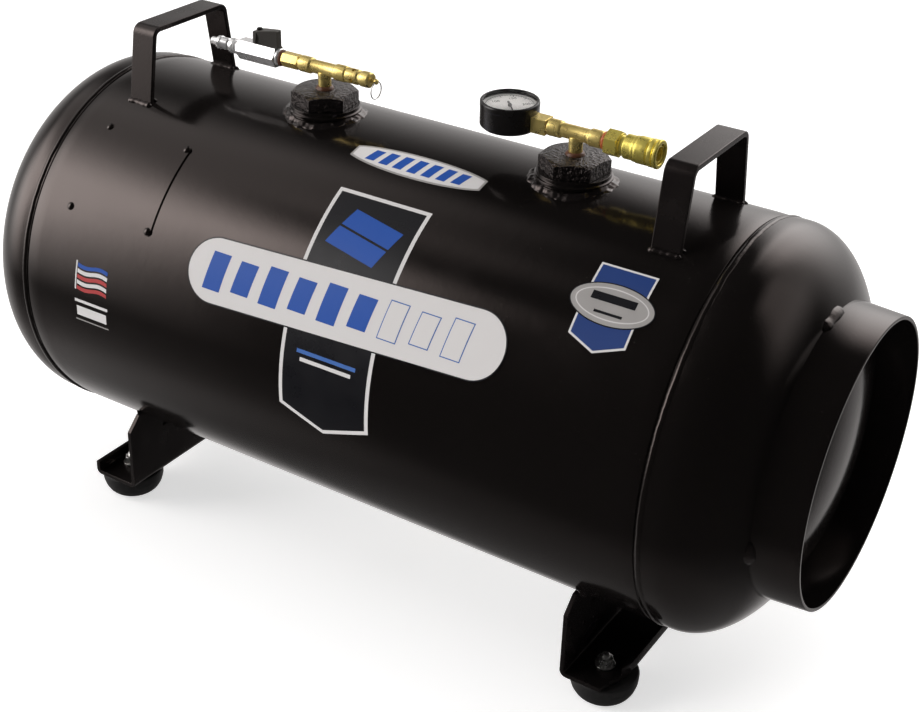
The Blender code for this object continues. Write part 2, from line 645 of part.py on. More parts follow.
def drain_screw():
    """Wing screw that opens the drain."""
    origin = (DRAIN_X, 0, 0)
    outline = [(0, -184), (1.4, -184), (2.1, -188), (2.1, -201.8), (4.4, -201.8), (4.4, -205),
               (0, -205)]
    screw = lathe("drain_wing_screw", outline, "brass", origin, steps=16)
    wing = arc((7.5, -207), 4.2, -90, 90, 6) + arc((-7.5, -207), 4.2, 90, 270, 6)
    turn = Matrix.Rotation(math.radians(90), 4, "X")
    return carve(screw, prism("tool", wing, -1.2, 1.2, "brass", origin, turn), "UNION")


# ---------------------------------------------------------------- feet
def foot_bracket(side, sign):
    """Folded cross member: an upright web cut to saddle the tank, a base plate and a lip."""
    top = PLATE_TOP_Z
    bottom = PLATE_TOP_Z - PLATE_THICKNESS
    outer = BRACKET_WEB_X[side]
    edge = outer + BRACKET_REACH
    web = outer - PLATE_THICKNESS
    lip = top + 10
    bend = 5.5
    corner = arc((web + bend, bottom + bend), bend, 180, 270, 5)
    inner = arc((web + bend, bottom + bend), bend - PLATE_THICKNESS, 270, 180, 3)
    profile = [(web, -110)] + corner + [(edge, bottom), (edge, lip)]
    profile += [(edge - PLATE_THICKNESS, lip), (edge - PLATE_THICKNESS, top)]
    profile += inner + [(outer, -110)]
    # Drawn in (x, z) for the right end; the left one is the same part turned round.
    stand = Matrix(((1, 0, 0, 0), (0, 0, -1, 0), (0, 1, 0, 0), (0, 0, 0, 1)))
    turn = Matrix.Rotation(math.radians(0 if sign > 0 else 180), 4, "Z")
    bracket = prism(f"foot_bracket_{side}", profile, -BRACKET_HALF, BRACKET_HALF, "black_paint",
                    turn=turn @ stand)
    carve(bracket, tank_cutter())
    # Notches in the saddle's shoulders and cropped corners, both drawn in (y, z).
    across = turn @ Matrix(((0, 0, 1, 0), (1, 0, 0, 0), (0, 1, 0, 0), (0, 0, 0, 1)))
    near, far = NOTCH_Y
    notch = [(near - 8, NOTCH_Z), (far, NOTCH_Z), (far, -130), (near - 8, -130)]
    crop = [(BRACKET_HALF + 5, -100), (BRACKET_HALF + 5, -146), (BRACKET_HALF, -146),
            (BRACKET_HALF - 14, -132), (BRACKET_HALF - 40, -129), (BRACKET_HALF - 40, -100)]
    for mirror in (1, -1):
        for cut in (notch, crop):
            shape = [(mirror * y, z) for y, z in cut]
            carve(bracket, prism("tool", shape, 200, 340, "steel", turn=across))
    for y in (-FOOT_Y, FOOT_Y):
        carve(bracket, rod(4.4, -230, -195, (sign * FOOT_X, y, 0), steps=16))
    # One corner of the base plate is cropped: it comes to the front at the right end.
    start = -BRACKET_HALF
    corner = [(edge - 13, start - 1), (edge + 1, start - 1), (edge + 1, start + 36),
              (edge, start + 34)]
    return carve(bracket, prism("tool", corner, -230, -180, "steel", turn=turn))


def rubber_foot(name, x, y):
    """Bowl-shaped rubber bumper with a recess for its bolt's head."""
    top = PLATE_TOP_Z - PLATE_THICKNESS - GAP - FLOOR_Z
    outline = [(4.3, 9), (9.5, 9), (9.5, 0), (19, 0), (24.5, 3.5), (28.2, 9), (30, 15)]
    outline += [(FOOT_RADIUS, top), (4.3, top)]
    return lathe(name, outline, "rubber", (x, y, FLOOR_Z), steps=18)


def foot_bolt(name, x, y):
    """Bolt up through the rubber and the plate."""
    outline = [(0, 4.2), (7.5, 4.2), (7.5, 8.7), (4.0, 8.7), (4.0, 41.0), (0, 41.0)]
    return lathe(name, outline, "steel", (x, y, FLOOR_Z), steps=12)


def foot_washer(name, x, y):
    low = PLATE_TOP_Z + GAP
    return lathe(name, [(4.4, low), (9.0, low), (9.0, low + 1.4), (4.4, low + 1.4)], "steel",
                 (x, y, 0), steps=16)


def foot_nut(name, x, y):
    low = PLATE_TOP_Z + GAP + 1.4 + GAP
    nut = prism(name, polygon(6, 12.7, 12), low, low + 6.4, "steel", (x, y, 0))
    return carve(nut, rod(4.3, low - 2, low + 9, (x, y, 0), steps=12))


# ---------------------------------------------------------------- data plate
PLATE_X = (-283.0, -177.0)
PLATE_ANGLES = (29.5, 61.5)    # from the top of the tank towards the front


def data_plate():
    """Curved plate that follows the shell."""
    low, high = TANK_RADIUS + 0.5, TANK_RADIUS + 1.4
    start, end = (90 + angle for angle in PLATE_ANGLES)
    outline = arc((0, 0), high, start, end, 12) + arc((0, 0), low, end, start, 12)
    # Drawn in (y, z) and pushed along X.
    turn = Matrix(((0, 0, 1, 0), (1, 0, 0, 0), (0, 1, 0, 0), (0, 0, 0, 1)))
    return prism("data_plate", outline, PLATE_X[0], PLATE_X[1], "black_paint", turn=turn)


def build():
    clear_scene()
    tank_shell()
    head("head_left", -1)
    head("head_right", 1)
    guard_ring()
    handle("handle_left", -HANDLE_X)
    handle("handle_right", HANDLE_X)
    data_plate()
    for side in BUNG_X:
        bung(side)
        bushing(side)
        tee(side)
    valve_nipple()
    valve_body()
    valve_ball()
    valve_seat("valve_seat_left", -1)
    valve_seat("valve_seat_right", 1)
    valve_stem()
    valve_lever()
    lever_screw()
    inlet_plug()
    relief_body()
    relief_stem()
    coil("relief_spring", 3.7, 0.45, 10.4, 23.2, 6, (RELIEF_X, 0, FITTING_Z))
    pull_ring()
    gauge_case()
    gauge_socket()
    bourdon_tube()
    gauge_dial()
    gauge_lens()
    gauge_pointer()
    coupler_body()
    coupler_sleeve()
    coupler_poppet()
    coil("coupler_poppet_spring", 3.2, 0.4, 18.6, 26.6, 4, (COUPLER_X, 0, FITTING_Z))
    coil("coupler_sleeve_spring", 8.9, 0.35, 37.9, 43.3, 3, (COUPLER_X, 0, FITTING_Z), 12)
    drain_bung()
    drain_cock()
    drain_screw()
    for side, sign in (("left", -1), ("right", 1)):
        foot_bracket(side, sign)
        for end, y in (("front", -FOOT_Y), ("back", FOOT_Y)):
            where = f"{end}_{side}"
            rubber_foot(f"rubber_foot_{where}", sign * FOOT_X, y)
            foot_bolt(f"foot_bolt_{where}", sign * FOOT_X, y)
            foot_washer(f"foot_washer_{where}", sign * FOOT_X, y)
            foot_nut(f"foot_nut_{where}", sign * FOOT_X, y)


build()
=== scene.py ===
import json
import math

import bmesh
import bpy
from mathutils import Matrix, Vector, noise


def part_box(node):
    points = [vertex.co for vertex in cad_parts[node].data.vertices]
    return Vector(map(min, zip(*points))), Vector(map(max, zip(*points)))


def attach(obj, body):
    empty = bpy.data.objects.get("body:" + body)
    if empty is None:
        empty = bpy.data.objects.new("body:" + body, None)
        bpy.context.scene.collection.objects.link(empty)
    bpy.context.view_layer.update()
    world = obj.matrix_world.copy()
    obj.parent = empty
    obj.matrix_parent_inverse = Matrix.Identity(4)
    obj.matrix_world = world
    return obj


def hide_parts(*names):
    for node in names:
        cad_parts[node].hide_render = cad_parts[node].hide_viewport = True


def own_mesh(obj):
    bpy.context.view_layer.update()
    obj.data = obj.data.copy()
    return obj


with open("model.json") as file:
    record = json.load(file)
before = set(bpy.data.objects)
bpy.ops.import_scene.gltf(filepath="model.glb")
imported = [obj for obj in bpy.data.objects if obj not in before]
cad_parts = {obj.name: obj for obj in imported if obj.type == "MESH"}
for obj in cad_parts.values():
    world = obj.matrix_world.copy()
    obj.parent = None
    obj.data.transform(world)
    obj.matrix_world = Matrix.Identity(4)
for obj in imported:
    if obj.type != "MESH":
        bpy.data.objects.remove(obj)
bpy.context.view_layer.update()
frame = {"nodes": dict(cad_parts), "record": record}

# ------------------------------------------------------------------ driving dimensions
# Millimetres from the middle of the tank's axis.  The frame says where that axis is.
MM = 0.001
SHELL_LOW, SHELL_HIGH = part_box("tank_shell")
AXIS = (Vector(SHELL_LOW) + Vector(SHELL_HIGH)) / 2
RADIUS = (SHELL_HIGH[1] - SHELL_LOW[1]) / 2 / MM
SEAM_X = (SHELL_HIGH[0] - SHELL_LOW[0]) / 2 / MM
WALL = 3.0
HEAD_FLANGE = 14.8
HEAD_TIP = (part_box("head_right")[1][0] - AXIS.x) / MM
HEAD_DEPTH = HEAD_TIP - SEAM_X - HEAD_FLANGE
RING_RIM_X = (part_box("guard_ring")[1][0] - AXIS.x) / MM
RING_RIM_RADIUS = 124.5
RING_BACK_RADIUS = 127.0
RING_WALL = 3.2
HANDLE_X = 269.0
FITTING_Z = 217.5
BUNG_X = {"left": -102.0, "right": 153.7}
BUNG_RADIUS = 33.0
BUNG_TOP = 186.0
BUSHING_TOP = 199.5
BUSHING_TURN = {"left": 38.5, "right": 24.0}
TEE_HALF = 25.5
FLOOR_Z = -AXIS.z / MM
TANK_STEPS = 192

PER_DEGREE = math.radians(1) * RADIUS     # length along the shell of one degree


def spin(axis, degrees):
    return Matrix.Rotation(math.radians(degrees), 4, axis)


def add_object(name, data):
    thing = bpy.data.objects.new(name, data)
    bpy.context.collection.objects.link(thing)
    return thing


def shaped_mesh(thing):
    """A new mesh of the object as its modifiers or its text make it."""
    bpy.context.view_layer.update()
    shaped = thing.evaluated_get(bpy.context.evaluated_depsgraph_get())
    return bpy.data.meshes.new_from_object(shaped)


def around(x, radius, degrees):
    """A point about the tank's axis, by its angle from the top towards the front."""
    angle = math.radians(degrees)
    return (x, -radius * math.sin(angle), radius * math.cos(angle))


ALONG_X = spin("Y", 90)
ACROSS = Matrix(((0, 0, 1, 0), (1, 0, 0, 0), (0, 1, 0, 0), (0, 0, 0, 1)))   # (y, z) drawing


# ------------------------------------------------------------------ node helpers
class Shader:
    """A material's node tree, with one Principled shader and short calls to feed it."""

    def __init__(self, name, colour, roughness, metallic=0.0, **sockets):
        self.material = bpy.data.materials.new(name)
        self.material.use_nodes = True
        self.tree = self.material.node_tree
        self.shader = self.tree.nodes["Principled BSDF"]
        self.set("Base Color", (*colour, 1.0))
        self.set("Roughness", roughness)
        self.set("Metallic", metallic)
        for socket, value in sockets.items():
            self.set(socket.replace("_", " ").title().replace("Ior", "IOR"), value)
        self.height = None

    def set(self, socket, value):
        self.shader.inputs[socket].default_value = value

    def add(self, kind, **inputs):
        node = self.tree.nodes.new(kind)
        for socket, value in inputs.items():
            self.link(value, node, socket.replace("_", " "))
        return node

    def link(self, value, node, socket):
        if isinstance(value, bpy.types.NodeSocket):
            self.tree.links.new(value, node.inputs[socket])
        else:
            node.inputs[socket].default_value = value

    def noise(self, scale, detail=3.0, roughness=0.55, stretch=None):
        where = self.add("ShaderNodeTexCoord").outputs["Object"]
        if stretch:
            mapping = self.add("ShaderNodeMapping", Vector=where, Scale=stretch)
            where = mapping.outputs["Vector"]
        node = self.add("ShaderNodeTexNoise", Vector=where, Scale=scale, Detail=detail,
                        Roughness=roughness)
        return node.outputs["Fac"]

    def ramp(self, value, low, high, bottom, top):
        """value from low..high, mapped to the grey levels bottom..top."""
        node = self.add("ShaderNodeMapRange", Value=value)
        for socket, number in zip(("From Min", "From Max", "To Min", "To Max"),
                                  (low, high, bottom, top)):
            node.inputs[socket].default_value = number
        return node.outputs["Result"]

    def two_tone(self, factor, first, second):
        """Base colour that goes from the first colour to the second with the factor."""
        node = self.add("ShaderNodeMix")
        node.data_type = "RGBA"
        self.link(factor, node, 0)
        self.link((*first, 1), node, 6)
        self.link((*second, 1), node, 7)
        self.link(node.outputs[2], self.shader, "Base Color")

    def uneven(self, scale, detail, bottom, top, low=0.3, high=0.7, fineness=0.55):
        """Roughness that wanders between bottom and top."""
        value = self.ramp(self.noise(scale, detail, fineness), low, high, bottom, top)
        self.link(value, self.shader, "Roughness")

    def bump(self, value, strength, distance):
        """Adds a layer of bump, distance in metres."""
        node = self.add("ShaderNodeBump", Height=value, Strength=strength, Distance=distance)
        if self.height is not None:
            self.tree.links.new(self.height, node.inputs["Normal"])
        self.height = node.outputs["Normal"]
        self.tree.links.new(self.height, self.shader.inputs["Normal"])


# ------------------------------------------------------------------ materials
WARM = (1.0, 0.84, 0.79, 1.0)     # tint of the black paint's reflections


def coat(name, colour, level, wander, *bumps):
    """Black powder coat. Each bump is a noise's scale, detail and roughness, strength, distance."""
    shade = Shader(name, colour, 0.2, specular_ior_level=level)
    shade.set("Specular Tint", WARM)
    shade.uneven(*wander)
    for scale, detail, fineness, strength, distance in bumps:
        shade.bump(shade.noise(scale, detail, fineness), strength, distance)
    return shade


def black_coat():
    """Gloss coat: deep black, faint orange peel, a little handling haze and a few dust specks."""
    deep = (0.0045, 0.0038, 0.0036)
    shade = coat("black_coat", deep, 0.42, (9.0, 5.0, 0.10, 0.19, 0.35, 0.75, 0.6),
                 (420.0, 2.0, 0.55, 0.05, 0.0004), (55.0, 2.0, 0.55, 0.04, 0.0012))
    specks = shade.ramp(shade.noise(900.0, 1.0), 0.74, 0.80, 0.0, 1.0)
    shade.two_tone(specks, deep, (0.03, 0.027, 0.025))
    return shade.material


def satin_coat():
    """The same coat on bent and cut parts, where it dried less glossy."""
    return coat("satin_coat", (0.006, 0.005, 0.005), 0.42, (40.0, 4.0, 0.18, 0.30),
                (600.0, 2.0, 0.55, 0.12, 0.0004)).material


def weld_coat():
    """Coat over weld metal: glossy and lumpy."""
    return coat("weld_coat", (0.006, 0.005, 0.005), 0.45, (90.0, 3.0, 0.12, 0.28),
                (150.0, 3.0, 0.5, 0.35, 0.0010)).material


def cast_coat():
    """Coat over a rough casting, crinkled all over."""
    return coat("cast_coat", (0.006, 0.005, 0.005), 0.5, (120.0, 4.0, 0.08, 0.22),
                (310.0, 3.0, 0.55, 1.0, 0.0030), (900.0, 2.0, 0.5, 0.3, 0.0004)).material


def brass(name, tone, dark):
    """Machined brass: bright, with darker handling stains and fine turning marks."""
    shade = Shader(name, tone, 0.3, 0.78)
    stain = shade.ramp(shade.noise(110.0, 4.0, 0.65), 0.45, 0.75, 0.0, 0.5)
    shade.two_tone(stain, tone, dark)
    shade.uneven(160.0, 4.0, 0.22, 0.38)
    shade.bump(shade.noise(900.0, 1.0, 0.5, (1.0, 0.04, 0.04)), 0.12, 0.0003)
    return shade.material


def chrome():
    shade = Shader("chrome", (0.93, 0.93, 0.93), 0.2, 0.72)
    shade.uneven(70.0, 4.0, 0.14, 0.28, 0.35, 0.75)
    shade.bump(shade.noise(300.0, 2.0), 0.04, 0.0004)
    return shade.material


def zinc():
    """Zinc-plated steel, faintly mottled."""
    shade = Shader("zinc", (0.66, 0.66, 0.66), 0.3, 0.92)
    mottle = shade.ramp(shade.noise(320.0, 4.0, 0.6), 0.35, 0.7, 0.0, 1.0)
    shade.two_tone(mottle, (0.72, 0.72, 0.71), (0.5, 0.49, 0.46))
    shade.uneven(240.0, 3.0, 0.22, 0.38)
    return shade.material


def plastic(name, colour, roughness=0.42):
    """Moulded plastic with a fine spark texture."""
    shade = Shader(name, colour, roughness, specular_ior_level=0.45)
    shade.bump(shade.noise(1400.0, 2.0), 0.25, 0.0002)
    shade.uneven(60.0, 3.0, roughness - 0.06, roughness + 0.08)
    return shade.material


def rubber():
    black = (0.010, 0.0095, 0.0095)
    shade = Shader("rubber", black, 0.62, specular_ior_level=0.4)
    dust = shade.ramp(shade.noise(150.0, 5.0, 0.65), 0.5, 0.8, 0.0, 0.6)
    shade.two_tone(dust, black, (0.035, 0.032, 0.03))
    shade.bump(shade.noise(800.0, 3.0), 0.3, 0.0003)
    return shade.material


def vinyl(name, colour, roughness=0.4, metallic=0.0):
    """Printed sticker film: even ink, a little worn, and not quite flat where it was laid."""
    shade = Shader(name, colour, roughness, metallic, specular_ior_level=0.25)
    fade = shade.ramp(shade.noise(26.0, 3.0), 0.3, 0.7, 0.0, 0.10)
    shade.two_tone(fade, colour, tuple(0.88 * level for level in colour))
    shade.uneven(45.0, 4.0, roughness - 0.05, roughness + 0.06)
    shade.bump(shade.noise(60.0, 2.0), 0.05, 0.0006)
    return shade.material


def sealant(name, colour):
    """Thread sealant squeezed out of a joint."""
    shade = Shader(name, colour, 0.4, specular_ior_level=0.5)
    shade.bump(shade.noise(500.0, 4.0), 0.8, 0.0006)
    shade.two_tone(shade.noise(300.0, 3.0), colour, tuple(0.45 * level for level in colour))
    return shade.material


def lens_glass():
    shade = Shader("lens_glass", (1.0, 1.0, 1.0), 0.02, transmission_weight=1.0)
    shade.set("IOR", 1.25)
    shade.uneven(60.0, 3.0, 0.01, 0.05)
    return shade.material


def dial_paper():
    shade = Shader("dial_white", (0.90, 0.88, 0.85), 0.5)
    tint = shade.ramp(shade.noise(50.0, 3.0), 0.3, 0.7, 0.0, 0.2)
    shade.two_tone(tint, (0.92, 0.90, 0.87), (0.80, 0.77, 0.73))
    return shade.material


BLACK = black_coat()
SATIN = satin_coat()
WELD = weld_coat()
CAST = cast_coat()
BRASS = brass("brass", (0.84, 0.66, 0.23), (0.55, 0.40, 0.12))
BRASS_PALE = brass("brass_coupler", (0.88, 0.74, 0.17), (0.62, 0.48, 0.10))
CHROME = chrome()
ZINC = zinc()
LEVER = plastic("lever_plastic", (0.042, 0.038, 0.033), 0.45)
CASE = plastic("case_plastic", (0.007, 0.006, 0.0058), 0.24)
NYLON = plastic("nylon", (0.80, 0.78, 0.72))
RUBBER = rubber()
SEAL_BROWN = sealant("seal_brown", (0.15, 0.055, 0.025))
SEAL_ORANGE = sealant("seal_orange", (0.55, 0.13, 0.03))
GLASS = lens_glass()
DIAL = dial_paper()
WHITE = vinyl("vinyl_white", (0.66, 0.645, 0.64))
BLUE = vinyl("vinyl_blue", (0.012, 0.075, 0.36))
NAVY = vinyl("vinyl_navy", (0.012, 0.04, 0.17))
LIGHT_BLUE = vinyl("vinyl_light_blue", (0.05, 0.14, 0.42))
DARK = vinyl("vinyl_dark", (0.006, 0.006, 0.008), 0.3)
SILVER = vinyl("vinyl_silver", (0.40, 0.385, 0.375), 0.34, 0.35)
RED = vinyl("vinyl_red", (0.42, 0.05, 0.05))


# ------------------------------------------------------------------ mesh helpers
def finish_piece(name, mesh, material, node=None, body="tank", slot=None, sharp=35, bevel=0.0):
    """Shades a mesh, puts it into the scene and hides the CAD pieces it stands for."""
    mesh.shade_smooth()
    mesh.set_sharp_from_angle(angle=math.radians(sharp))
    mesh.materials.append(material)
    piece = add_object(name, mesh)
    if bevel:
        round_edges = piece.modifiers.new("round_edges", "BEVEL")
        round_edges.width = bevel * MM
        round_edges.segments = 3
        round_edges.limit_method = "ANGLE"
        round_edges.angle_limit = math.radians(40)
        round_edges.harden_normals = True
    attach(piece, body)
    if node:
        nodes = [node] if isinstance(node, str) else list(node)
        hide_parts(*nodes)
    return piece


SLOTS = {entry["node"]: entry["material_slot"] for entry in frame["record"]["subparts"]}


def mesh_from(name, points, faces, origin=(0, 0, 0), turn=None):
    """A mesh from points in millimetres, turned, moved and put into the frame in metres."""
    turn = turn or Matrix.Identity(4)
    shift = Vector(origin)
    mesh = bpy.data.meshes.new(name)
    placed = [(turn @ Vector(p) + shift) * MM + AXIS for p in points]
    mesh.from_pydata(placed, [], faces)
    editor = bmesh.new()
    editor.from_mesh(mesh)
    bmesh.ops.recalc_face_normals(editor, faces=editor.faces)
    editor.to_mesh(mesh)
    editor.free()
    return mesh


def lathe_mesh(name, outline, origin=(0, 0, 0), turn=None, steps=64, soften=0):
    """A closed (radius, height) outline turned about Z; points at radius 0 are poles."""
    points, rows, faces = [], [], []
    if soften:
        outline = rounded(outline, soften)
    for radius, height in outline:
        if radius == 0:
            rows.append([len(points)] * steps)
            points.append((0, 0, height))
            continue
        rows.append(list(range(len(points), len(points) + steps)))
        for step in range(steps):
            angle = math.tau * step / steps
            points.append((radius * math.cos(angle), radius * math.sin(angle), height))
    for row, following in zip(rows, rows[1:] + rows[:1]):
        for step in range(steps):
            after = (step + 1) % steps
            corners = list(dict.fromkeys((row[step], row[after], following[after],
                                          following[step])))
            if len(corners) > 2:
                faces.append(corners)
    return mesh_from(name, points, faces, origin, turn)


def wall(inner, outer, low, high):
    """Outline of a plain ring, or of a disc when the inner radius is 0."""
    return [(inner, low), (outer, low), (outer, high), (inner, high)]


def rounded(outline, radius, cuts=3):
    """The outline with every corner replaced by a small arc, as far as its sides allow."""
    result = []
    count = len(outline)
    for index, corner in enumerate(outline):
        before, after = Vector(outline[index - 1]), Vector(outline[(index + 1) % count])
        here = Vector(corner)
        back, ahead = before - here, after - here
        if here.x == 0 or back.length < 1e-6 or ahead.length < 1e-6:
            result.append(tuple(corner))
            continue
        reach = min(radius, back.length * 0.4, ahead.length * 0.4)
        first, last = here + back.normalized() * reach, here + ahead.normalized() * reach
        for cut in range(cuts + 1):
            t = cut / cuts
            point = first * (1 - t) ** 2 + here * 2 * t * (1 - t) + last * t ** 2
            result.append((point.x, point.y))
    return result


def lathe(name, outline, material, origin=(0, 0, 0), turn=None, steps=64, soften=0.35, **facts):
    mesh = lathe_mesh(name, outline, origin, turn, steps, soften)
    return finish_piece(name, mesh, material, **facts)


def prism_mesh(name, outline, low, high, origin=(0, 0, 0), turn=None):
    """A flat outline pushed up along Z from low to high."""
    count = len(outline)
    points = [(x, y, low) for x, y in outline] + [(x, y, high) for x, y in outline]
    faces = [list(range(count)), list(range(count, 2 * count))]
    for index in range(count):
        after = (index + 1) % count
        faces.append([index, after, count + after, count + index])
    return mesh_from(name, points, faces, origin, turn)


def box(left, right, low, high):
    return [(left, low), (right, low), (right, high), (left, high)]


def polygon(sides, flats, turn_degrees=0.0):
    """A regular polygon by its width across flats."""
    radius = flats / 2 / math.cos(math.pi / sides)
    turn = math.radians(turn_degrees)
    return [(radius * math.cos(turn + math.tau * i / sides),
             radius * math.sin(turn + math.tau * i / sides)) for i in range(sides)]


def arc(centre, radius, start, end, count):
    """Points of an arc, angles in degrees."""
    angles = [math.radians(start + (end - start) * i / (count - 1)) for i in range(count)]
    return [(centre[0] + radius * math.cos(a), centre[1] + radius * math.sin(a)) for a in angles]


def sweep_mesh(name, path, section, closed=False, origin=(0, 0, 0), turn=None, ups=None):
    """A section of (across, up) points, or a function of the station, carried along a path."""
    count = len(path)
    points, faces = [], []
    side = None
    for index, centre in enumerate(path):
        before = path[index - 1] if closed or index else centre
        after = path[(index + 1) % count] if closed or index < count - 1 else centre
        along = (Vector(after) - Vector(before)).normalized()
        if ups:
            up = Vector(ups[index])
        else:
            side = side or along.orthogonal().normalized()
            up = (side - along * side.dot(along)).normalized()
            side = up
        across = along.cross(up).normalized()
        ring = section(index) if callable(section) else section
        size = len(ring)
        for sideways, upwards in ring:
            points.append(tuple(Vector(centre) + across * sideways + up * upwards))
    for index in range(count if closed else count - 1):
        row, following = index * size, ((index + 1) % count) * size
        for step in range(size):
            after = (step + 1) % size
            faces.append([row + step, row + after, following + after, following + step])
    if not closed:
        faces.append(list(range(size)))
        faces.append(list(range((count - 1) * size, count * size)))
    return mesh_from(name, points, faces, origin, turn)


def circle_section(radius, sides=8):
    return [(radius * math.cos(math.tau * i / sides), radius * math.sin(math.tau * i / sides))
            for i in range(sides)]


def join(*meshes):
    """One mesh holding all of these, which stay separate shells."""
    editor = bmesh.new()
    for mesh in meshes:
        editor.from_mesh(mesh)
        if mesh is not meshes[0]:
            bpy.data.meshes.remove(mesh)
    editor.to_mesh(meshes[0])
    editor.free()
    return meshes[0]


def cut(mesh, *tools):
    """Exact Boolean difference of a mesh with each tool."""
    target = add_object("target", mesh)
    for tool_mesh in tools:
        tool = add_object("tool", tool_mesh)
        modifier = target.modifiers.new("cut", "BOOLEAN")
        modifier.object = tool
        modifier.operation = "DIFFERENCE"
        result = shaped_mesh(target)
        target.modifiers.clear()
        target.data = result
        bpy.data.objects.remove(tool, do_unlink=True)
    result = target.data
    bpy.data.objects.remove(target, do_unlink=True)
    result.materials.clear()
    return result


def rough_bead(name, path, ups, width, height, seed, lump=0.3, pitch=4.0, material=None, **facts):
    """A weld bead: a half-round section whose size and place wander along the path."""
    path = [Vector(point) for point in path]
    lengths = [0.0]
    for first, second in zip(path, path[1:]):
        lengths.append(lengths[-1] + (second - first).length)
    closed = (path[0] - path[-1]).length < 2 * lengths[1]

    def section(index):
        wander = noise.noise(path[index] * 0.11 + Vector((seed, seed, 0)))
        ripple = 0.5 + 0.5 * math.cos(math.tau * lengths[index] / pitch)
        size = 1 + lump * wander + 0.10 * ripple
        taper = 1.0
        if not closed:
            ends = min(lengths[index], lengths[-1] - lengths[index])
            taper = min(1.0, 0.35 + ends / (width * 0.7))
        across, up = width / 2 * size * taper, height * size * taper
        sides = 9
        return [(across * math.cos(math.pi * i / (sides - 1)) + 0.5 * wander,
                 up * math.sin(math.pi * i / (sides - 1)) - (0.6 if i in (0, sides - 1) else 0))
                for i in range(sides)]

    mesh = sweep_mesh(name, path, section, closed, ups=ups)
    return finish_piece(name, mesh, material or WELD, slot="black_paint", sharp=80, **facts)


# ------------------------------------------------------------------ pressure vessel
def pressure_vessel():
    """Shell, heads and the two girth welds."""
    pinch = 0.5     # how far the edges are drawn in at the girth welds
    outline = [(RADIUS - WALL, -SEAM_X), (RADIUS - pinch, -SEAM_X), (RADIUS, 12 - SEAM_X),
               (RADIUS, SEAM_X - 12), (RADIUS - pinch, SEAM_X), (RADIUS - WALL, SEAM_X)]
    lathe("shell", outline, BLACK, turn=ALONG_X, steps=TANK_STEPS, soften=3.0, node="tank_shell")
    for name, side in (("head_left", -1), ("head_right", 1)):
        dish = SEAM_X + HEAD_FLANGE
        start = SEAM_X + 0.8
        outline = [(RADIUS - WALL, start), (RADIUS - pinch, start), (RADIUS, SEAM_X + 10)]
        rings = 44
        for ring in range(rings):
            angle = math.pi / 2 * ring / rings
            outline.append((RADIUS * math.cos(angle), dish + HEAD_DEPTH * math.sin(angle)))
        outline += [(0, HEAD_TIP), (0, HEAD_TIP - WALL)]
        for ring in reversed(range(0, rings, 4)):
            angle = math.pi / 2 * ring / rings
            outline.append(((RADIUS - WALL) * math.cos(angle),
                            dish + (HEAD_DEPTH - WALL) * math.sin(angle)))
        lathe(f"{name}_dish", outline, BLACK, turn=spin("Y", 90 * side), steps=TANK_STEPS,
              soften=0, node=name, sharp=60)
        steps = 560
        circle = [-360 * step / steps for step in range(steps)]
        path = [around(side * (SEAM_X + 4.2), RADIUS - 0.7, degrees) for degrees in circle]
        ups = [around(0, 1, degrees) for degrees in circle]
        rough_bead(f"girth_weld_{name[5:]}", path, ups, width=5.0, height=1.3, seed=3.0 + side,
                   lump=0.06, pitch=5.0, material=BLACK)


def guard_ring():
    """Band of the guard ring, which ends on the dish, with its rounded rim and four tack welds."""
    def dish_x(radius):
        return SEAM_X + HEAD_FLANGE + HEAD_DEPTH * math.sqrt(1 - (radius / RADIUS) ** 2)

    back = dish_x(RING_BACK_RADIUS) - 0.5
    outline = [(RING_BACK_RADIUS - RING_WALL, back + 1.5), (RING_BACK_RADIUS, back),
               (RING_RIM_RADIUS, RING_RIM_X), (RING_RIM_RADIUS - RING_WALL, RING_RIM_X)]
    lathe("guard_band", outline, BLACK, turn=ALONG_X, steps=TANK_STEPS, soften=0.7,
          node="guard_ring")
    for index, (start, end) in enumerate(((-3, 13), (98, 108), (178, 190), (262, 274))):
        weld = [start + (end - start) * i / 24 for i in range(25)]
        path = [around(back + 0.8, RING_BACK_RADIUS + 0.8, degrees) for degrees in weld]
        ups = [around(0.55, 0.84, degrees) for degrees in weld]
        rough_bead(f"guard_weld_{index}", path, ups, width=10.0, height=2.6, seed=21.3 + index,
                   lump=0.4, pitch=14.0)


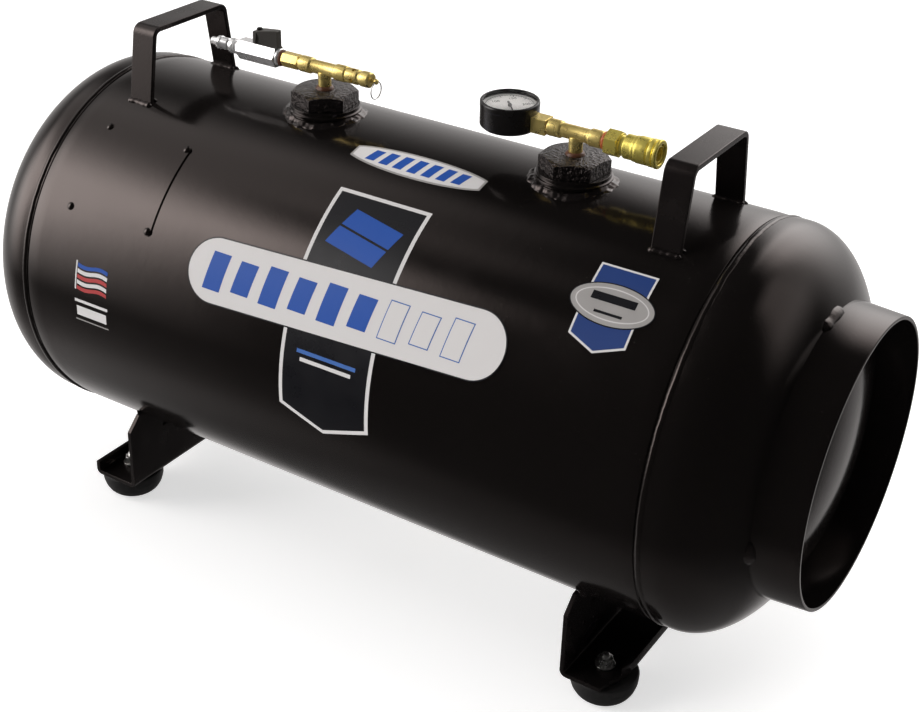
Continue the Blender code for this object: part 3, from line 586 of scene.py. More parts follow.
def handle(name, x):
    """Flat bar bent into a U with splayed legs, welded to the shell along both faces."""
    width, thickness, bend = 25.4, 4.8, 10.0
    top_z = (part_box(name)[1][2] - AXIS.z) / MM
    top_half, foot_half, foot_z = 50.0, 61.0, 160.0
    splay = math.atan2(foot_half - top_half, top_z - 168)
    spread = (top_z - foot_z) * math.tan(splay)
    turn_through = 90 - math.degrees(splay)

    def bent(radius, inset):
        setback = bend * math.tan(math.radians(turn_through) / 2)
        centre = (top_half - setback, top_z - bend)
        foot = (top_half + spread - inset / math.cos(splay), foot_z)
        return arc(centre, radius, 90, 90 - turn_through, 14) + [foot]

    outer, inner = bent(bend, 0), bent(bend - thickness, thickness)
    outline = [(-y, z) for y, z in outer[::-1]] + outer + inner[::-1]
    outline += [(-y, z) for y, z in inner]
    bar_mesh = prism_mesh("handle", outline, -width / 2, width / 2, (x, 0, 0), ACROSS)
    finish_piece(f"{name}_bar", bar_mesh, SATIN, node=name, bevel=0.9, sharp=30)
    for label, sign in (("front", -1), ("back", 1)):
        for face, inset, seed in (("outer", 0.0, 1.0), ("inner", thickness, 5.0)):
            y = foot_half - inset + (1.6 if face == "outer" else -1.6)
            z = math.sqrt(RADIUS ** 2 - y ** 2) + 0.4
            path = [(x + (step / 24 - 0.5) * (width + 3), sign * y, z) for step in range(25)]
            lean = 0.75 if face == "outer" else -0.2
            ups = [(0, sign * lean, 0.66)] * 25
            rough_bead(f"{name}_weld_{label}_{face}", path, ups, width=4.8, height=1.8,
                       seed=x + seed + sign, lump=0.2, pitch=6.5)


# ------------------------------------------------------------------ bungs
def bung(side):
    """Welding coupling with its turned grooves, its rough fillet weld and the bushing."""
    x = BUNG_X[side]
    bore, groove, foot_z = 22.6, BUNG_RADIUS - 1.6, 168
    outline = [(bore, foot_z), (BUNG_RADIUS, foot_z), (BUNG_RADIUS, 178.2), (groove, 178.8),
               (groove, 179.6), (BUNG_RADIUS, 180.2), (BUNG_RADIUS, 182.2), (groove, 183.0),
               (groove, BUNG_TOP), (bore, BUNG_TOP)]
    lathe(f"bung_{side}_collar", outline, BLACK, (x, 0, 0), steps=96, node=f"bung_{side}")
    fillet(side, x)
    bushing(side, x)


def fillet(side, x):
    """Hand-laid fillet weld between the bung and the curved shell."""
    steps, rings = 220, 9
    points, faces = [], []
    for step in range(steps):
        angle = math.tau * step / steps
        where = Vector((math.cos(angle), math.sin(angle), 0.0))
        for ring in range(rings):
            t = ring / (rings - 1)
            lump = noise.noise(where * 3.0 + Vector((0, 0, x + t)))
            lump += 0.5 * noise.noise(where * 8.0 + Vector((0, 0, x + 2 * t)))
            reach = BUNG_RADIUS - 0.6 + t * (6.0 + 3.0 * lump)
            px, py = reach * math.cos(angle), reach * math.sin(angle)
            surface = math.sqrt(RADIUS ** 2 - py ** 2)
            climb = (3.4 + 1.4 * lump) * (1 - t) ** 1.3 + 0.9 * lump * math.sin(math.pi * t)
            points.append((px, py, surface + climb - (0.8 if ring == rings - 1 else 0)))
    for step in range(steps):
        after = (step + 1) % steps
        for ring in range(rings - 1):
            faces.append([step * rings + ring, step * rings + ring + 1,
                          after * rings + ring + 1, after * rings + ring])
    name = f"bung_{side}_weld"
    finish_piece(name, mesh_from(name, points, faces, (x, 0, 0)), WELD, slot="black_paint",
                 sharp=80)


def bushing(side, x):
    """Hexagon bushing: rough-cast hexagon with turned-down corners and a raised boss."""
    low = BUNG_TOP + 0.3
    flats = 52.5
    name = f"reducing_bushing_{side}"
    corner = flats / 2 / math.cos(math.pi / 6)
    hexagon = prism_mesh("hexagon", polygon(6, flats, BUSHING_TURN[side]), low, BUSHING_TOP - 0.3,
                         (x, 0, 0))
    crown = [(0, BUSHING_TOP + 4), (corner + 6, BUSHING_TOP + 4), (corner + 6, BUSHING_TOP - 6),
             (corner - 4.4, BUSHING_TOP - 0.3), (0, BUSHING_TOP - 0.3)]
    mesh = cut(hexagon, lathe_mesh("crown", crown, (x, 0, 0), steps=96))
    thread = lathe_mesh("thread", wall(5.0, 22.2, 170, low + 0.5), (x, 0, 0))
    boss = lathe_mesh("boss", [(0, BUSHING_TOP - 1.5), (12.5, BUSHING_TOP - 1.5),
                               (10.5, BUSHING_TOP), (0, BUSHING_TOP)], (x, 0, 0), soften=0.8)
    finish_piece(f"{name}_hex", join(mesh, thread, boss), CAST, node=name, bevel=0.7)
    seal = [(5.0, BUSHING_TOP - 0.6), (8.6, BUSHING_TOP - 0.4), (7.8, BUSHING_TOP + 1.3),
            (6.6, BUSHING_TOP + 2.6), (5.0, BUSHING_TOP + 2.8)]
    lathe(f"stem_sealant_{side}", seal, SEAL_BROWN, (x, 0, 0), steps=48, soften=0.6,
          slot="rough_black")


# ------------------------------------------------------------------ fittings line
def tee(side):
    """Street tee: two collared ends in line and a male branch that flares into them."""
    origin = (BUNG_X[side], 0, FITTING_Z)
    collar, neck = 7.3, 6.1
    inner = TEE_HALF - 12.8
    bore = 5.2
    half = [(bore, TEE_HALF - 9), (bore, TEE_HALF), (collar - 0.7, TEE_HALF),
            (collar, TEE_HALF - 0.9), (collar, inner + 1.0), (neck, inner)]
    outline = half + [(radius, -height) for radius, height in half[::-1]]
    run = lathe_mesh("run", outline, origin, ALONG_X, soften=0.6)
    stem = [(0, -16.8), (5.6, -16.8), (5.9, -15.5), (5.9, -8.4), (6.3, -6.0), (6.2, -2.5),
            (0, -2.5)]
    branch = lathe_mesh("branch", stem, origin, soften=0.6)
    finish_piece(f"tee_{side}_casting", join(run, branch), BRASS, node=f"tee_{side}")


VALVE_X = -174.5
VALVE_LEFT, VALVE_RIGHT = -196.4, -150.0
VALVE_FLATS = 17.6
TEE_LEFT_END = BUNG_X["left"] - TEE_HALF


def hexagon_nut(name, flats, low, high, turn_degrees, chamfer=0.9, origin=(0, 0, 0), turn=None):
    """A hexagon with both ends turned down at the corners."""
    corner = flats / 2 / math.cos(math.pi / 6)
    blank = prism_mesh(name, polygon(6, flats, turn_degrees), low, high, origin, turn)
    reach = corner + 5
    tools = []
    for edge, out in ((low, -1), (high, 1)):
        outline = [(0, edge + out * 0.0001), (corner - 2.2 * chamfer, edge),
                   (reach, edge - out * 3.4), (reach, edge + out * 4), (0, edge + out * 4)]
        tools.append(lathe_mesh("turned", outline, origin, turn, 72))
    return cut(blank, *tools)


def ball_valve():
    """Nipple, chromed hexagon body, lever with its screw, and the plug on its left end."""
    middle = (VALVE_RIGHT + TEE_LEFT_END) / 2
    reach = (TEE_LEFT_END - VALVE_RIGHT) / 2
    origin = (middle, 0, FITTING_Z)
    nut = hexagon_nut("nut", 12.4, 3.2 - reach, reach - 1.5, 30, 0.5, origin, ALONG_X)
    thread = lathe_mesh("thread", [(3.0, -reach - 9), (5.8, -reach - 9), (5.9, reach + 9),
                                   (3.0, reach + 9)], origin, ALONG_X)
    finish_piece("valve_nipple_hex", join(nut, thread), BRASS, node="valve_nipple", bevel=0.25)
    seal = [(5.7, VALVE_RIGHT + 0.1), (7.4, VALVE_RIGHT + 0.3), (7.2, VALVE_RIGHT + 2.2),
            (5.7, VALVE_RIGHT + 2.9)]
    lathe("valve_sealant", seal, SEAL_BROWN, (0, 0, FITTING_Z), ALONG_X, steps=40, soften=0.5,
          slot="brass")
    origin = (VALVE_X, 0, FITTING_Z)
    low, high = VALVE_LEFT - VALVE_X, VALVE_RIGHT - VALVE_X
    hexagon = hexagon_nut("bar", VALVE_FLATS, low, high - 3, 30, 0.9, origin, ALONG_X)
    collar = lathe_mesh("collar", [(5.9, low - 2.5), (7.4, low - 2.5), (8.2, low - 1.5),
                                   (8.2, low + 1), (5.9, low + 1)], origin, ALONG_X, soften=0.4)
    mouth = lathe_mesh("mouth", [(5.9, high - 4), (8.2, high - 4), (8.2, high - 1),
                                 (7.6, high), (5.9, high)], origin, ALONG_X, soften=0.4)
    top = VALVE_FLATS / 2
    gland = lathe_mesh("gland", wall(0, 4.2, top - 1, top + 0.2), origin, soften=0.1)
    finish_piece("valve_body_hex", join(hexagon, collar, mouth, gland), CHROME,
                 node="ball_valve_body", bevel=0.5)
    lever()
    outline = [(2.6, 8), (5.3, 8), (5.3, -3.4), (7.0, -4.0), (7.0, -8.8), (4.6, -9.6),
               (4.6, -11.6), (5.5, -12.4), (5.5, -20), (6.1, -20.6), (6.1, -24.2), (3.8, -25.4),
               (3.8, -31.6), (3.2, -32.5), (2.6, -32.5)]
    lathe("plug_nose", outline, CHROME, (VALVE_LEFT - 2.5, 0, FITTING_Z), ALONG_X,
          node="inlet_plug", soften=0.4)


def lever():
    """Moulded wedge lever that rises and narrows to its tip, with a recess on each side."""
    origin = (VALVE_X, 0, FITTING_Z)
    base = VALVE_FLATS / 2 + 0.4
    side_view = [(-5.5, base), (22, base), (22, 24), (21, 24.6), (-3, 20.9), (-4.6, 19.8)]
    turn = spin("X", 90)
    block = prism_mesh("block", side_view, -7, 7, origin, turn)
    half = [(22, 3.2), (3, 5.6), (-3.5, 5.6), (-5.4, 4.2)]
    outside = [(-5.4, 0), (-9, 0), (-9, 9), (25, 9), (25, 0)]
    tools = []
    for side in (1, -1):
        trim = [(x, side * y) for x, y in [(22, 0)] + half + outside]
        tools.append(prism_mesh("trim", trim, base - 1, 27, origin))
    wedge = [(-1.2, base + 0.8), (6.5, base + 0.8), (0.3, base + 10.2)]
    tools += [prism_mesh("recess", wedge, low, high, origin, turn)
              for low, high in ((-7, -3.6), (3.6, 7))]
    finish_piece("lever_grip", cut(block, *tools), LEVER, node="valve_lever", bevel=0.5,
                 body="valve_handle")
    head = lathe_mesh("screw", [(0, 20), (2.8, 20), (2.8, 22.6), (2.0, 23.2), (0, 23.4)], origin,
                      steps=32, soften=0.3)
    slot_tool = prism_mesh("slot", box(-4, 4, -0.35, 0.35), 22.6, 25, origin)
    finish_piece("lever_screw_head", cut(head, slot_tool), CASE, node="lever_screw",
                 body="valve_handle")


RELIEF_X = BUNG_X["left"] + TEE_HALF
RELIEF_EYE = 30.5


def relief_valve():
    """Turned safety valve, its pull eye and the split ring that hangs from it."""
    origin = (RELIEF_X, 0, FITTING_Z)
    outline = [(2.4, -8), (5.6, -8), (5.6, 0.1), (6.5, 0.3), (6.8, 0.8), (6.8, 12.4), (5.9, 13.2),
               (5.9, 15.6), (7.0, 16.4), (7.0, 24.2), (6.1, 26), (2.1, 26), (2.1, 24), (2.1, 6)]
    barrel = lathe_mesh("barrel", outline, origin, ALONG_X, soften=0.35)
    drills = []
    for turn_degrees in (15, 105):
        turn = spin("X", turn_degrees + 90)
        drills.append(lathe_mesh("drill", wall(0, 2.0, -10, 10), (RELIEF_X + 8, 0, FITTING_Z),
                                 turn, 24))
    finish_piece("relief_barrel", cut(barrel, *drills), BRASS, node="relief_valve_body")
    outline = [(0, 24), (1.5, 24), (1.5, RELIEF_EYE - 2.4), (2.4, RELIEF_EYE - 1.4),
               (2.4, RELIEF_EYE + 1.2), (1.4, RELIEF_EYE + 2), (0, RELIEF_EYE + 2)]
    stem = lathe_mesh("stem", outline, origin, ALONG_X, 32, 0.4)
    eye = (RELIEF_X + RELIEF_EYE, 0, FITTING_Z)
    hole = lathe_mesh("hole", wall(0, 1.0, -5, 5), eye, spin("X", 90), 20)
    finish_piece("relief_eye", cut(stem, hole), BRASS, node="relief_valve_stem",
                 body="relief_stem")
    radius, wire, steps = 7.8, 0.42, 96
    path = []
    for step in range(2 * steps):
        angle = math.tau * step / steps
        shift = 0.34 * (step / steps - 1)
        path.append((shift, radius * math.sin(angle), radius * math.cos(angle) - radius))
    mesh = sweep_mesh("ring", path, circle_section(wire), origin=eye)
    finish_piece("split_ring", mesh, ZINC, node="pull_ring", body="pull_ring", sharp=60)


# ------------------------------------------------------------------ gauge
GAUGE_X = 90.0
GAUGE_RADIUS = 25.2
GAUGE_TILT = spin("X", 1.5)
GAUGE_ORIGIN = (GAUGE_X, 0, FITTING_Z)
TEE_RIGHT_START = BUNG_X["right"] - TEE_HALF


def gauge():
    """Case with its rolled bezel, printed dial, pointer, lens and square socket."""
    back, front, thick = -8.8, 14.8, 1.1
    inside = GAUGE_RADIUS - thick
    outline = [(0, back), (GAUGE_RADIUS - 3, back), (GAUGE_RADIUS - 0.2, back + 2.6),
               (GAUGE_RADIUS - 0.2, front - 5.2), (GAUGE_RADIUS, front - 4.8),
               (GAUGE_RADIUS, front - 1), (GAUGE_RADIUS - 0.8, front),
               (GAUGE_RADIUS - 2.6, front), (GAUGE_RADIUS - 2.6, front - 1.2),
               (inside, front - 1.4), (inside, back + 2.5), (inside - 2, back + thick),
               (0, back + thick)]
    lathe("gauge_cup", outline, CASE, GAUGE_ORIGIN, GAUGE_TILT, 128, 0.5, node="gauge_case")
    face = 9.2
    lathe("gauge_face", wall(0.9, 23.6, face - 0.8, face), DIAL, GAUGE_ORIGIN, GAUGE_TILT, 96,
          0.1, node="gauge_dial")
    dial_marks(face)
    lathe("gauge_glass", [(0, 12), (23.7, 12), (23.7, 13.0), (22.9, 13.15), (0, 13.15)],
          GLASS, GAUGE_ORIGIN, GAUGE_TILT, 96, 0.1, node="gauge_lens")
    zero = GAUGE_TILT @ spin("Z", -45)
    hub = lathe_mesh("hub", [(0, 8.8), (1.6, 8.8), (1.6, 10.2), (1.1, 10.7), (0, 10.7)],
                     GAUGE_ORIGIN, zero, 32, 0.3)
    needle = [(-6.5, -0.7), (-4, -0.9), (0, -0.5), (16.6, -0.2), (17.4, 0), (16.6, 0.2), (0, 0.5),
              (-4, 0.9), (-6.5, 0.7)]
    blade = prism_mesh("needle", needle, 9.8, 10.2, GAUGE_ORIGIN, zero)
    finish_piece("pointer_needle", join(hub, blade), CASE, node="gauge_pointer",
                 body="gauge_pointer")
    turn = GAUGE_TILT @ ALONG_X
    reach = TEE_RIGHT_START - GAUGE_X
    block = prism_mesh("block", polygon(4, 13.4, 45), 23.5, reach - 0.4, GAUGE_ORIGIN, turn)
    neck = lathe_mesh("neck", wall(1.6, 5.8, 26, reach + 7), GAUGE_ORIGIN, turn, 40, 0.3)
    finish_piece("gauge_stem_block", join(block, neck), BRASS, node="gauge_socket", bevel=0.6)


def dial_marks(face):
    """Scale arc, ticks and numbers of a 0 to 200 dial, as thin printed ink on the face."""
    meshes = []
    ink = face + 0.05

    def stroke(outline):
        meshes.append(prism_mesh("stroke", outline, face, ink, GAUGE_ORIGIN, GAUGE_TILT))

    start, span, track = -45.0, -270.0, 20.4
    for step in range(41):
        angle = math.radians(start + span * step / 40)
        long_tick = step % 5 == 0
        inner, half = (17.2, 0.26) if long_tick else (18.8, 0.12)
        along = Vector((math.cos(angle), math.sin(angle)))
        across = Vector((-along.y, along.x)) * half
        first, last = along * inner, along * track
        stroke([first - across, last - across, last + across, first + across])
    end = start + span
    stroke(arc((0, 0), track + 0.4, start, end, 90) + arc((0, 0), track, end, start, 90))
    finish_piece("dial_scale", join(*meshes), CASE, slot="black_plastic")
    for index in range(5):
        angle = math.radians(start + span * index / 4)
        text = bpy.data.curves.new("number", "FONT")
        text.body = str(50 * index)
        text.size = 0.0046
        text.extrude = 0.00003
        text.align_x = "CENTER"
        text.align_y = "CENTER"
        holder = add_object("number", text)
        mesh = shaped_mesh(holder)
        bpy.data.objects.remove(holder, do_unlink=True)
        spot = Vector((13.8 * math.cos(angle), 13.8 * math.sin(angle), ink)) * MM
        place = Matrix.Translation(AXIS + Vector(GAUGE_ORIGIN) * MM) @ GAUGE_TILT
        mesh.transform(place @ Matrix.Translation(spot) @ spin("Z", 45))
        mesh.materials.clear()
        finish_piece(f"dial_number_{index}", mesh, CASE, slot="black_plastic")


# ------------------------------------------------------------------ quick coupler
COUPLER_X = BUNG_X["right"] + TEE_HALF
SLEEVE_LOW, SLEEVE_HIGH = 20.0, 51.0


def quick_coupler():
    """Coupler body with its hexagon, the grooved sliding sleeve and the poppet in its mouth."""
    origin = (COUPLER_X, 0, FITTING_Z)
    seal = [(5.7, 0.2), (7.6, 0.3), (7.9, 1.6), (7.4, 3.3), (5.7, 3.4)]
    lathe("coupler_sealant", seal, SEAL_ORANGE, origin, ALONG_X, 40, 0.5, slot="brass")
    nut = hexagon_nut("nut", 20.0, 3.5, 15.5, 0, 0.9, origin, ALONG_X)
    outline = [(3.4, -7), (5.6, -7), (5.6, 3.6), (9.4, 3.7), (9.4, 16.3), (7.9, 16.5),
               (7.9, 48.6), (7.2, 49.6), (6.1, 49.6), (6.1, 30.6), (5.0, 29.6), (5.0, 18),
               (3.4, 17)]
    tube = lathe_mesh("tube", outline, origin, ALONG_X, 80, 0.3)
    finish_piece("coupler_hex_body", join(nut, tube), BRASS_PALE, node="coupler_body",
                 bevel=0.4)
    low, high = SLEEVE_LOW, SLEEVE_HIGH
    outline = [(8.3, low), (9.6, low), (10.2, low + 0.8), (10.2, low + 8), (10.7, low + 8.6),
               (10.7, low + 11), (11.3, low + 12), (11.3, high - 9.8), (10.2, high - 9.2),
               (10.2, high - 8.6), (11.6, high - 8.0), (11.6, high - 4.4), (10.4, high - 3.8),
               (10.4, high - 3.2), (12.0, high - 2.7), (12.0, high - 0.7), (11.2, high),
               (8.9, high), (8.3, high - 0.8), (8.3, high - 6), (9.4, high - 7), (9.4, low + 7),
               (8.3, low + 6)]
    lathe("coupler_sleeve_grip", outline, BRASS_PALE, origin, ALONG_X, 96, 0.3,
          node="coupler_sleeve", body="coupler_sleeve")
    outline = [(0, 24), (1.6, 24), (1.6, 27.2), (4.6, 27.2), (4.6, 29.2), (3.0, 31.2), (1.9, 34),
               (0, 34)]
    lathe("coupler_poppet_nose", outline, BRASS, origin, ALONG_X, 40, 0.3,
          node="coupler_poppet", body="coupler_poppet")


def spring(node, radius, wire, span, turns, origin_x):
    """Compression spring along the fittings line."""
    low, high = span
    steps = turns * 28
    path = []
    for step in range(steps + 1):
        angle = math.tau * turns * step / steps
        along = low + wire + (high - low - 2 * wire) * step / steps
        path.append((along, radius * math.sin(angle), radius * math.cos(angle)))
    mesh = sweep_mesh(f"{node}_wire", path, circle_section(wire), origin=(origin_x, 0, FITTING_Z))
    piece = finish_piece(f"{node}_wire", mesh, ZINC, node=node, sharp=60)
    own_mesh(piece)


def springs():
    spring("relief_spring", 3.7, 0.45, (10.4, 23.2), 6, RELIEF_X)
    spring("coupler_poppet_spring", 3.2, 0.4, (18.6, 26.6), 4, COUPLER_X)
    spring("coupler_sleeve_spring", 8.85, 0.35, (37.9, 43.3), 3, COUPLER_X)


# ------------------------------------------------------------------ data plate and decals
def patch_mesh(name, outline, height, thickness=0.0, fine=4.0):
    """A flat (x, degrees) outline laid on the shell, with an edge if it has a thickness.

    The outline is filled in the flat, cut into strips narrow enough to bend, and then wrapped.
    """
    editor = bmesh.new()
    corners = [editor.verts.new((x, -degrees * PER_DEGREE, 0)) for x, degrees in outline]
    editor.faces.new(corners)
    bmesh.ops.triangulate(editor, faces=editor.faces[:])
    lowest = min(-degrees * PER_DEGREE for x, degrees in outline)
    highest = max(-degrees * PER_DEGREE for x, degrees in outline)
    for index in range(1, int((highest - lowest) / fine) + 1):
        where = lowest + index * fine
        geometry = editor.verts[:] + editor.edges[:] + editor.faces[:]
        bmesh.ops.bisect_plane(editor, geom=geometry, plane_co=(0, where, 0),
                               plane_no=(0, 1, 0))
    bmesh.ops.dissolve_degenerate(editor, dist=1e-4, edges=editor.edges[:])
    if thickness:
        raised = bmesh.ops.extrude_face_region(editor, geom=editor.faces[:])
        for item in raised["geom"]:
            if isinstance(item, bmesh.types.BMVert):
                item.co.z += thickness
    for corner in editor.verts:
        x, flat, lift = corner.co
        point = around(x, RADIUS + height + lift, -flat / PER_DEGREE)
        corner.co = Vector(point) * MM + AXIS
    bmesh.ops.recalc_face_normals(editor, faces=editor.faces[:])
    mesh = bpy.data.meshes.new(name)
    editor.to_mesh(mesh)
    editor.free()
    return mesh


def decal(name, outline, material, layer=0, slot="black_paint"):
    """A printed patch, each layer a little prouder than the one under it."""
    mesh = patch_mesh(name, outline, 0.10 + 0.10 * layer, 0.08)
    return finish_piece(name, mesh, material, slot=slot, sharp=60)


def pill(left, right, top_left, top_right, thick):
    """A round-ended bar that leans, thick degrees across, as (x, degrees) points."""
    start = Vector((left, top_left * PER_DEGREE))
    end = Vector((right, top_right * PER_DEGREE))
    along = (end - start).normalized()
    across = Vector((-along.y, along.x))
    half = thick / 2 * PER_DEGREE
    first = start + (across + along) * half
    last = end + (across - along) * half
    facing = math.degrees(math.atan2(along.y, along.x))
    points = arc(last, half, facing - 90, facing + 90, 24)
    points += arc(first, half, facing + 90, facing + 270, 24)
    return [(x, y / PER_DEGREE) for x, y in points]


def ellipse(width, height, centre_x=252.5, centre_degrees=39.0, count=64):
    """An ellipse in millimetres on the unrolled shell."""
    angles = [math.tau * index / count for index in range(count)]
    return [(centre_x + width / 2 * math.cos(a),
             centre_degrees + height / 2 * math.sin(a) / PER_DEGREE) for a in angles]


def shrink(outline, inset):
    """The outline moved inwards by a distance in millimetres."""
    flat = [Vector((x, degrees * PER_DEGREE)) for x, degrees in outline]
    area = sum(flat[i - 1].x * flat[i].y - flat[i].x * flat[i - 1].y for i in range(len(flat)))
    sign = 1 if area > 0 else -1
    result = []
    for index, here in enumerate(flat):
        first = (here - flat[index - 1]).normalized()
        second = (flat[(index + 1) % len(flat)] - here).normalized()
        normal = Vector((-first.y, first.x)) + Vector((-second.y, second.x))
        normal = normal.normalized() * sign
        lengthen = 1 / max(0.5, normal.dot(Vector((-first.y, first.x)) * sign))
        moved = here + normal * inset * lengthen
        result.append((moved.x, moved.y / PER_DEGREE))
    return result


def data_plate():
    """Curved blank plate on four rivets, with rounded corners."""
    left, right = -279.8, -180.6
    high, low = 30.8, 59.8          # degrees
    corner = 3.4
    outline = []
    for cx, cy, start in ((right - corner, low - corner / PER_DEGREE, 0),
                          (left + corner, low - corner / PER_DEGREE, 90),
                          (left + corner, high + corner / PER_DEGREE, 180),
                          (right - corner, high + corner / PER_DEGREE, 270)):
        for x, y in arc((0, 0), corner, start, start + 90, 6):
            outline.append((cx + x, cy + y / PER_DEGREE))
    mesh = patch_mesh("data_plate_sheet", outline, 0.4, 1.0)
    finish_piece("data_plate_sheet", mesh, BLACK, node="data_plate", sharp=50)
    radius, rise = 3.7, 1.9
    dome = [(0, -1.0), (radius, -1.0), (radius, 0.2)]
    dome += [(radius * math.cos(a), 0.2 + rise * math.sin(a))
             for a in (math.pi / 2 * i / 6 for i in range(1, 6))] + [(0, 0.2 + rise)]
    for index, (x, degrees) in enumerate(((-276, 32), (-184, 32), (-276, 58.5), (-184, 58.5))):
        lathe(f"plate_rivet_{index}", dome, BLACK, around(x, RADIUS + 1.2, degrees),
              spin("X", degrees), 24, 0, slot="black_paint")


def decals():
    """Generic printed decals, of plain panels, bars and blocks, with no words or marks."""
    banner = [(-20.5, 29.0), (72.0, 29.0), (72.0, 93.5), (24.0, 99.0), (-20.5, 93.5)]
    decal("banner_edge", banner, WHITE, 0)
    decal("banner_field", shrink(banner, 3.6), DARK, 1)
    split_panel("banner_panel", 25.5, 41.5)
    decal("banner_line_0", bar(-4, 56, 76.0, 0.55), LIGHT_BLUE, 2)
    decal("banner_line_1", bar(0, 52, 78.2, 0.55), WHITE, 2)
    body = pill(-133.0, 184.0, 53.6, 49.2, 19.0)
    decal("pill_edge", body, DARK, 3)
    decal("pill_field", shrink(body, 1.2), WHITE, 4)
    pill_stripes()
    lens = truncated_oval(29.5, 14.9, 131.0, 31.0)
    decal("top_oval_edge", lens, SILVER, 0)
    decal("top_oval_field", shrink(lens, 2.0), WHITE, 1)
    oval_bars()
    badge()
    pennant()


def bar(left, right, degrees, half, lean=0.0):
    """A level bar, half either side of its angle, whose upper edge may lean right by lean mm."""
    return [(left + lean, degrees - half), (right + lean, degrees - half),
            (right, degrees + half), (left, degrees + half)]


def split_panel(name, centre_x, centre_degrees):
    """A leaning block in two parts, as a plain motif."""
    half_width, half_height, lean, gap = 26.0, 17.5, 7.0, 1.0
    for label, low, high in (("upper", -half_height, -gap), ("lower", gap, half_height)):
        block = []
        for side, edge in ((-1, low), (1, low), (1, high), (-1, high)):
            slope = lean * edge / half_height
            block.append((centre_x + side * half_width - slope,
                          centre_degrees + (edge + 5.0 * side) / PER_DEGREE))
        decal(f"{name}_{label}", block, BLUE, 2)


def pill_stripes():
    """Slanted blocks along the pill: solid ones on the left and outlined ones on the right."""
    left, right = -112.0, 160.0
    count = 9
    pitch = (right - left) / count
    for index in range(count):
        x = left + pitch * index
        middle = 53.6 - 4.4 * (x + 133) / 317 + 9.5
        half = 4.6 if index % 2 else 5.4
        block = bar(x, x + pitch * 0.62, middle, half, 4)
        if index < 6:
            decal(f"pill_block_{index}", block, BLUE, 5)
        else:
            decal(f"pill_outline_{index}", block, LIGHT_BLUE, 5)
            decal(f"pill_inside_{index}", shrink(block, 0.9), WHITE, 6)


def truncated_oval(centre_x, centre_degrees, width, height):
    """A wide oval with its two ends cut square."""
    points = []
    limit = width / 2
    for sign in (-1, 1):
        for step in range(25):
            x = -sign * limit + sign * 2 * limit * step / 24
            lift = height / 2 * math.sqrt(max(0.0, 1 - (x / (limit * 1.12)) ** 2))
            points.append((centre_x + x, centre_degrees + sign * lift / PER_DEGREE))
    return points


def oval_bars():
    """Upright bars across the oval, shorter towards its ends."""
    for index in range(7):
        offset = (index - 3) * 14.5
        half = 9.0 * math.sqrt(1 - (offset / 72) ** 2) / PER_DEGREE
        x = 29.5 + offset
        decal(f"top_oval_bar_{index}", bar(x - 6.5, x + 2.5, 14.9, half, 4), BLUE, 2)


def badge():
    """Shield behind an ellipse with two plain bars."""
    shield = [(228.0, 28.3), (277.0, 28.3), (277.0, 48.8), (252.5, 52.0), (228.0, 48.8)]
    decal("badge_shield_edge", shield, WHITE, 0)
    decal("badge_shield_field", shrink(shield, 1.8), NAVY, 1)
    decal("badge_oval_edge", ellipse(72, 36), DARK, 2)
    decal("badge_oval_field", ellipse(70, 34), SILVER, 3)
    decal("badge_oval_inner", ellipse(62, 27), WHITE, 4)
    decal("badge_oval_middle", ellipse(60, 25), SILVER, 5)
    decal("badge_line_0", bar(233.5, 271.5, 37.6, 1.1), DARK, 6)
    decal("badge_line_1", bar(240.5, 264.5, 41.6, 0.35), DARK, 6)


def pennant():
    """Small striped pennant with a pole and three blank lines under it."""
    decal("pennant_pole", bar(-257.0, -255.4, 77.4, 4.4), WHITE, 0)
    for stripe, ink in enumerate((BLUE, WHITE, RED, WHITE, RED)):
        wave = [step / 12 for step in range(13)]
        upper = [(-254.6 + 36 * t, 73.6 + 1.7 * stripe + 0.45 * math.sin(math.tau * t))
                 for t in wave]
        lower = [(x, degrees + 1.15) for x, degrees in upper[::-1]]
        decal(f"pennant_stripe_{stripe}", upper + lower, ink, 0)
    decal("pennant_line_0", bar(-257.0, -217.0, 85.2, 0.45), WHITE, 0)
    decal("pennant_line_1", bar(-255.0, -219.0, 88.4, 1.5), WHITE, 0)
    decal("pennant_line_2", bar(-257.0, -217.0, 91.4, 0.2), SILVER, 0)


# ------------------------------------------------------------------ feet
PLATE_TOP = -207.0
PLATE_THICK = 4.2
BRACKET_WEB = {"left": 245.5, "right": 249.0}
BRACKET_REACH = 47.5
BRACKET_HALF = 139.0
FOOT_X, FOOT_Y, FOOT_RADIUS = 273.0, 108.5, 30.5


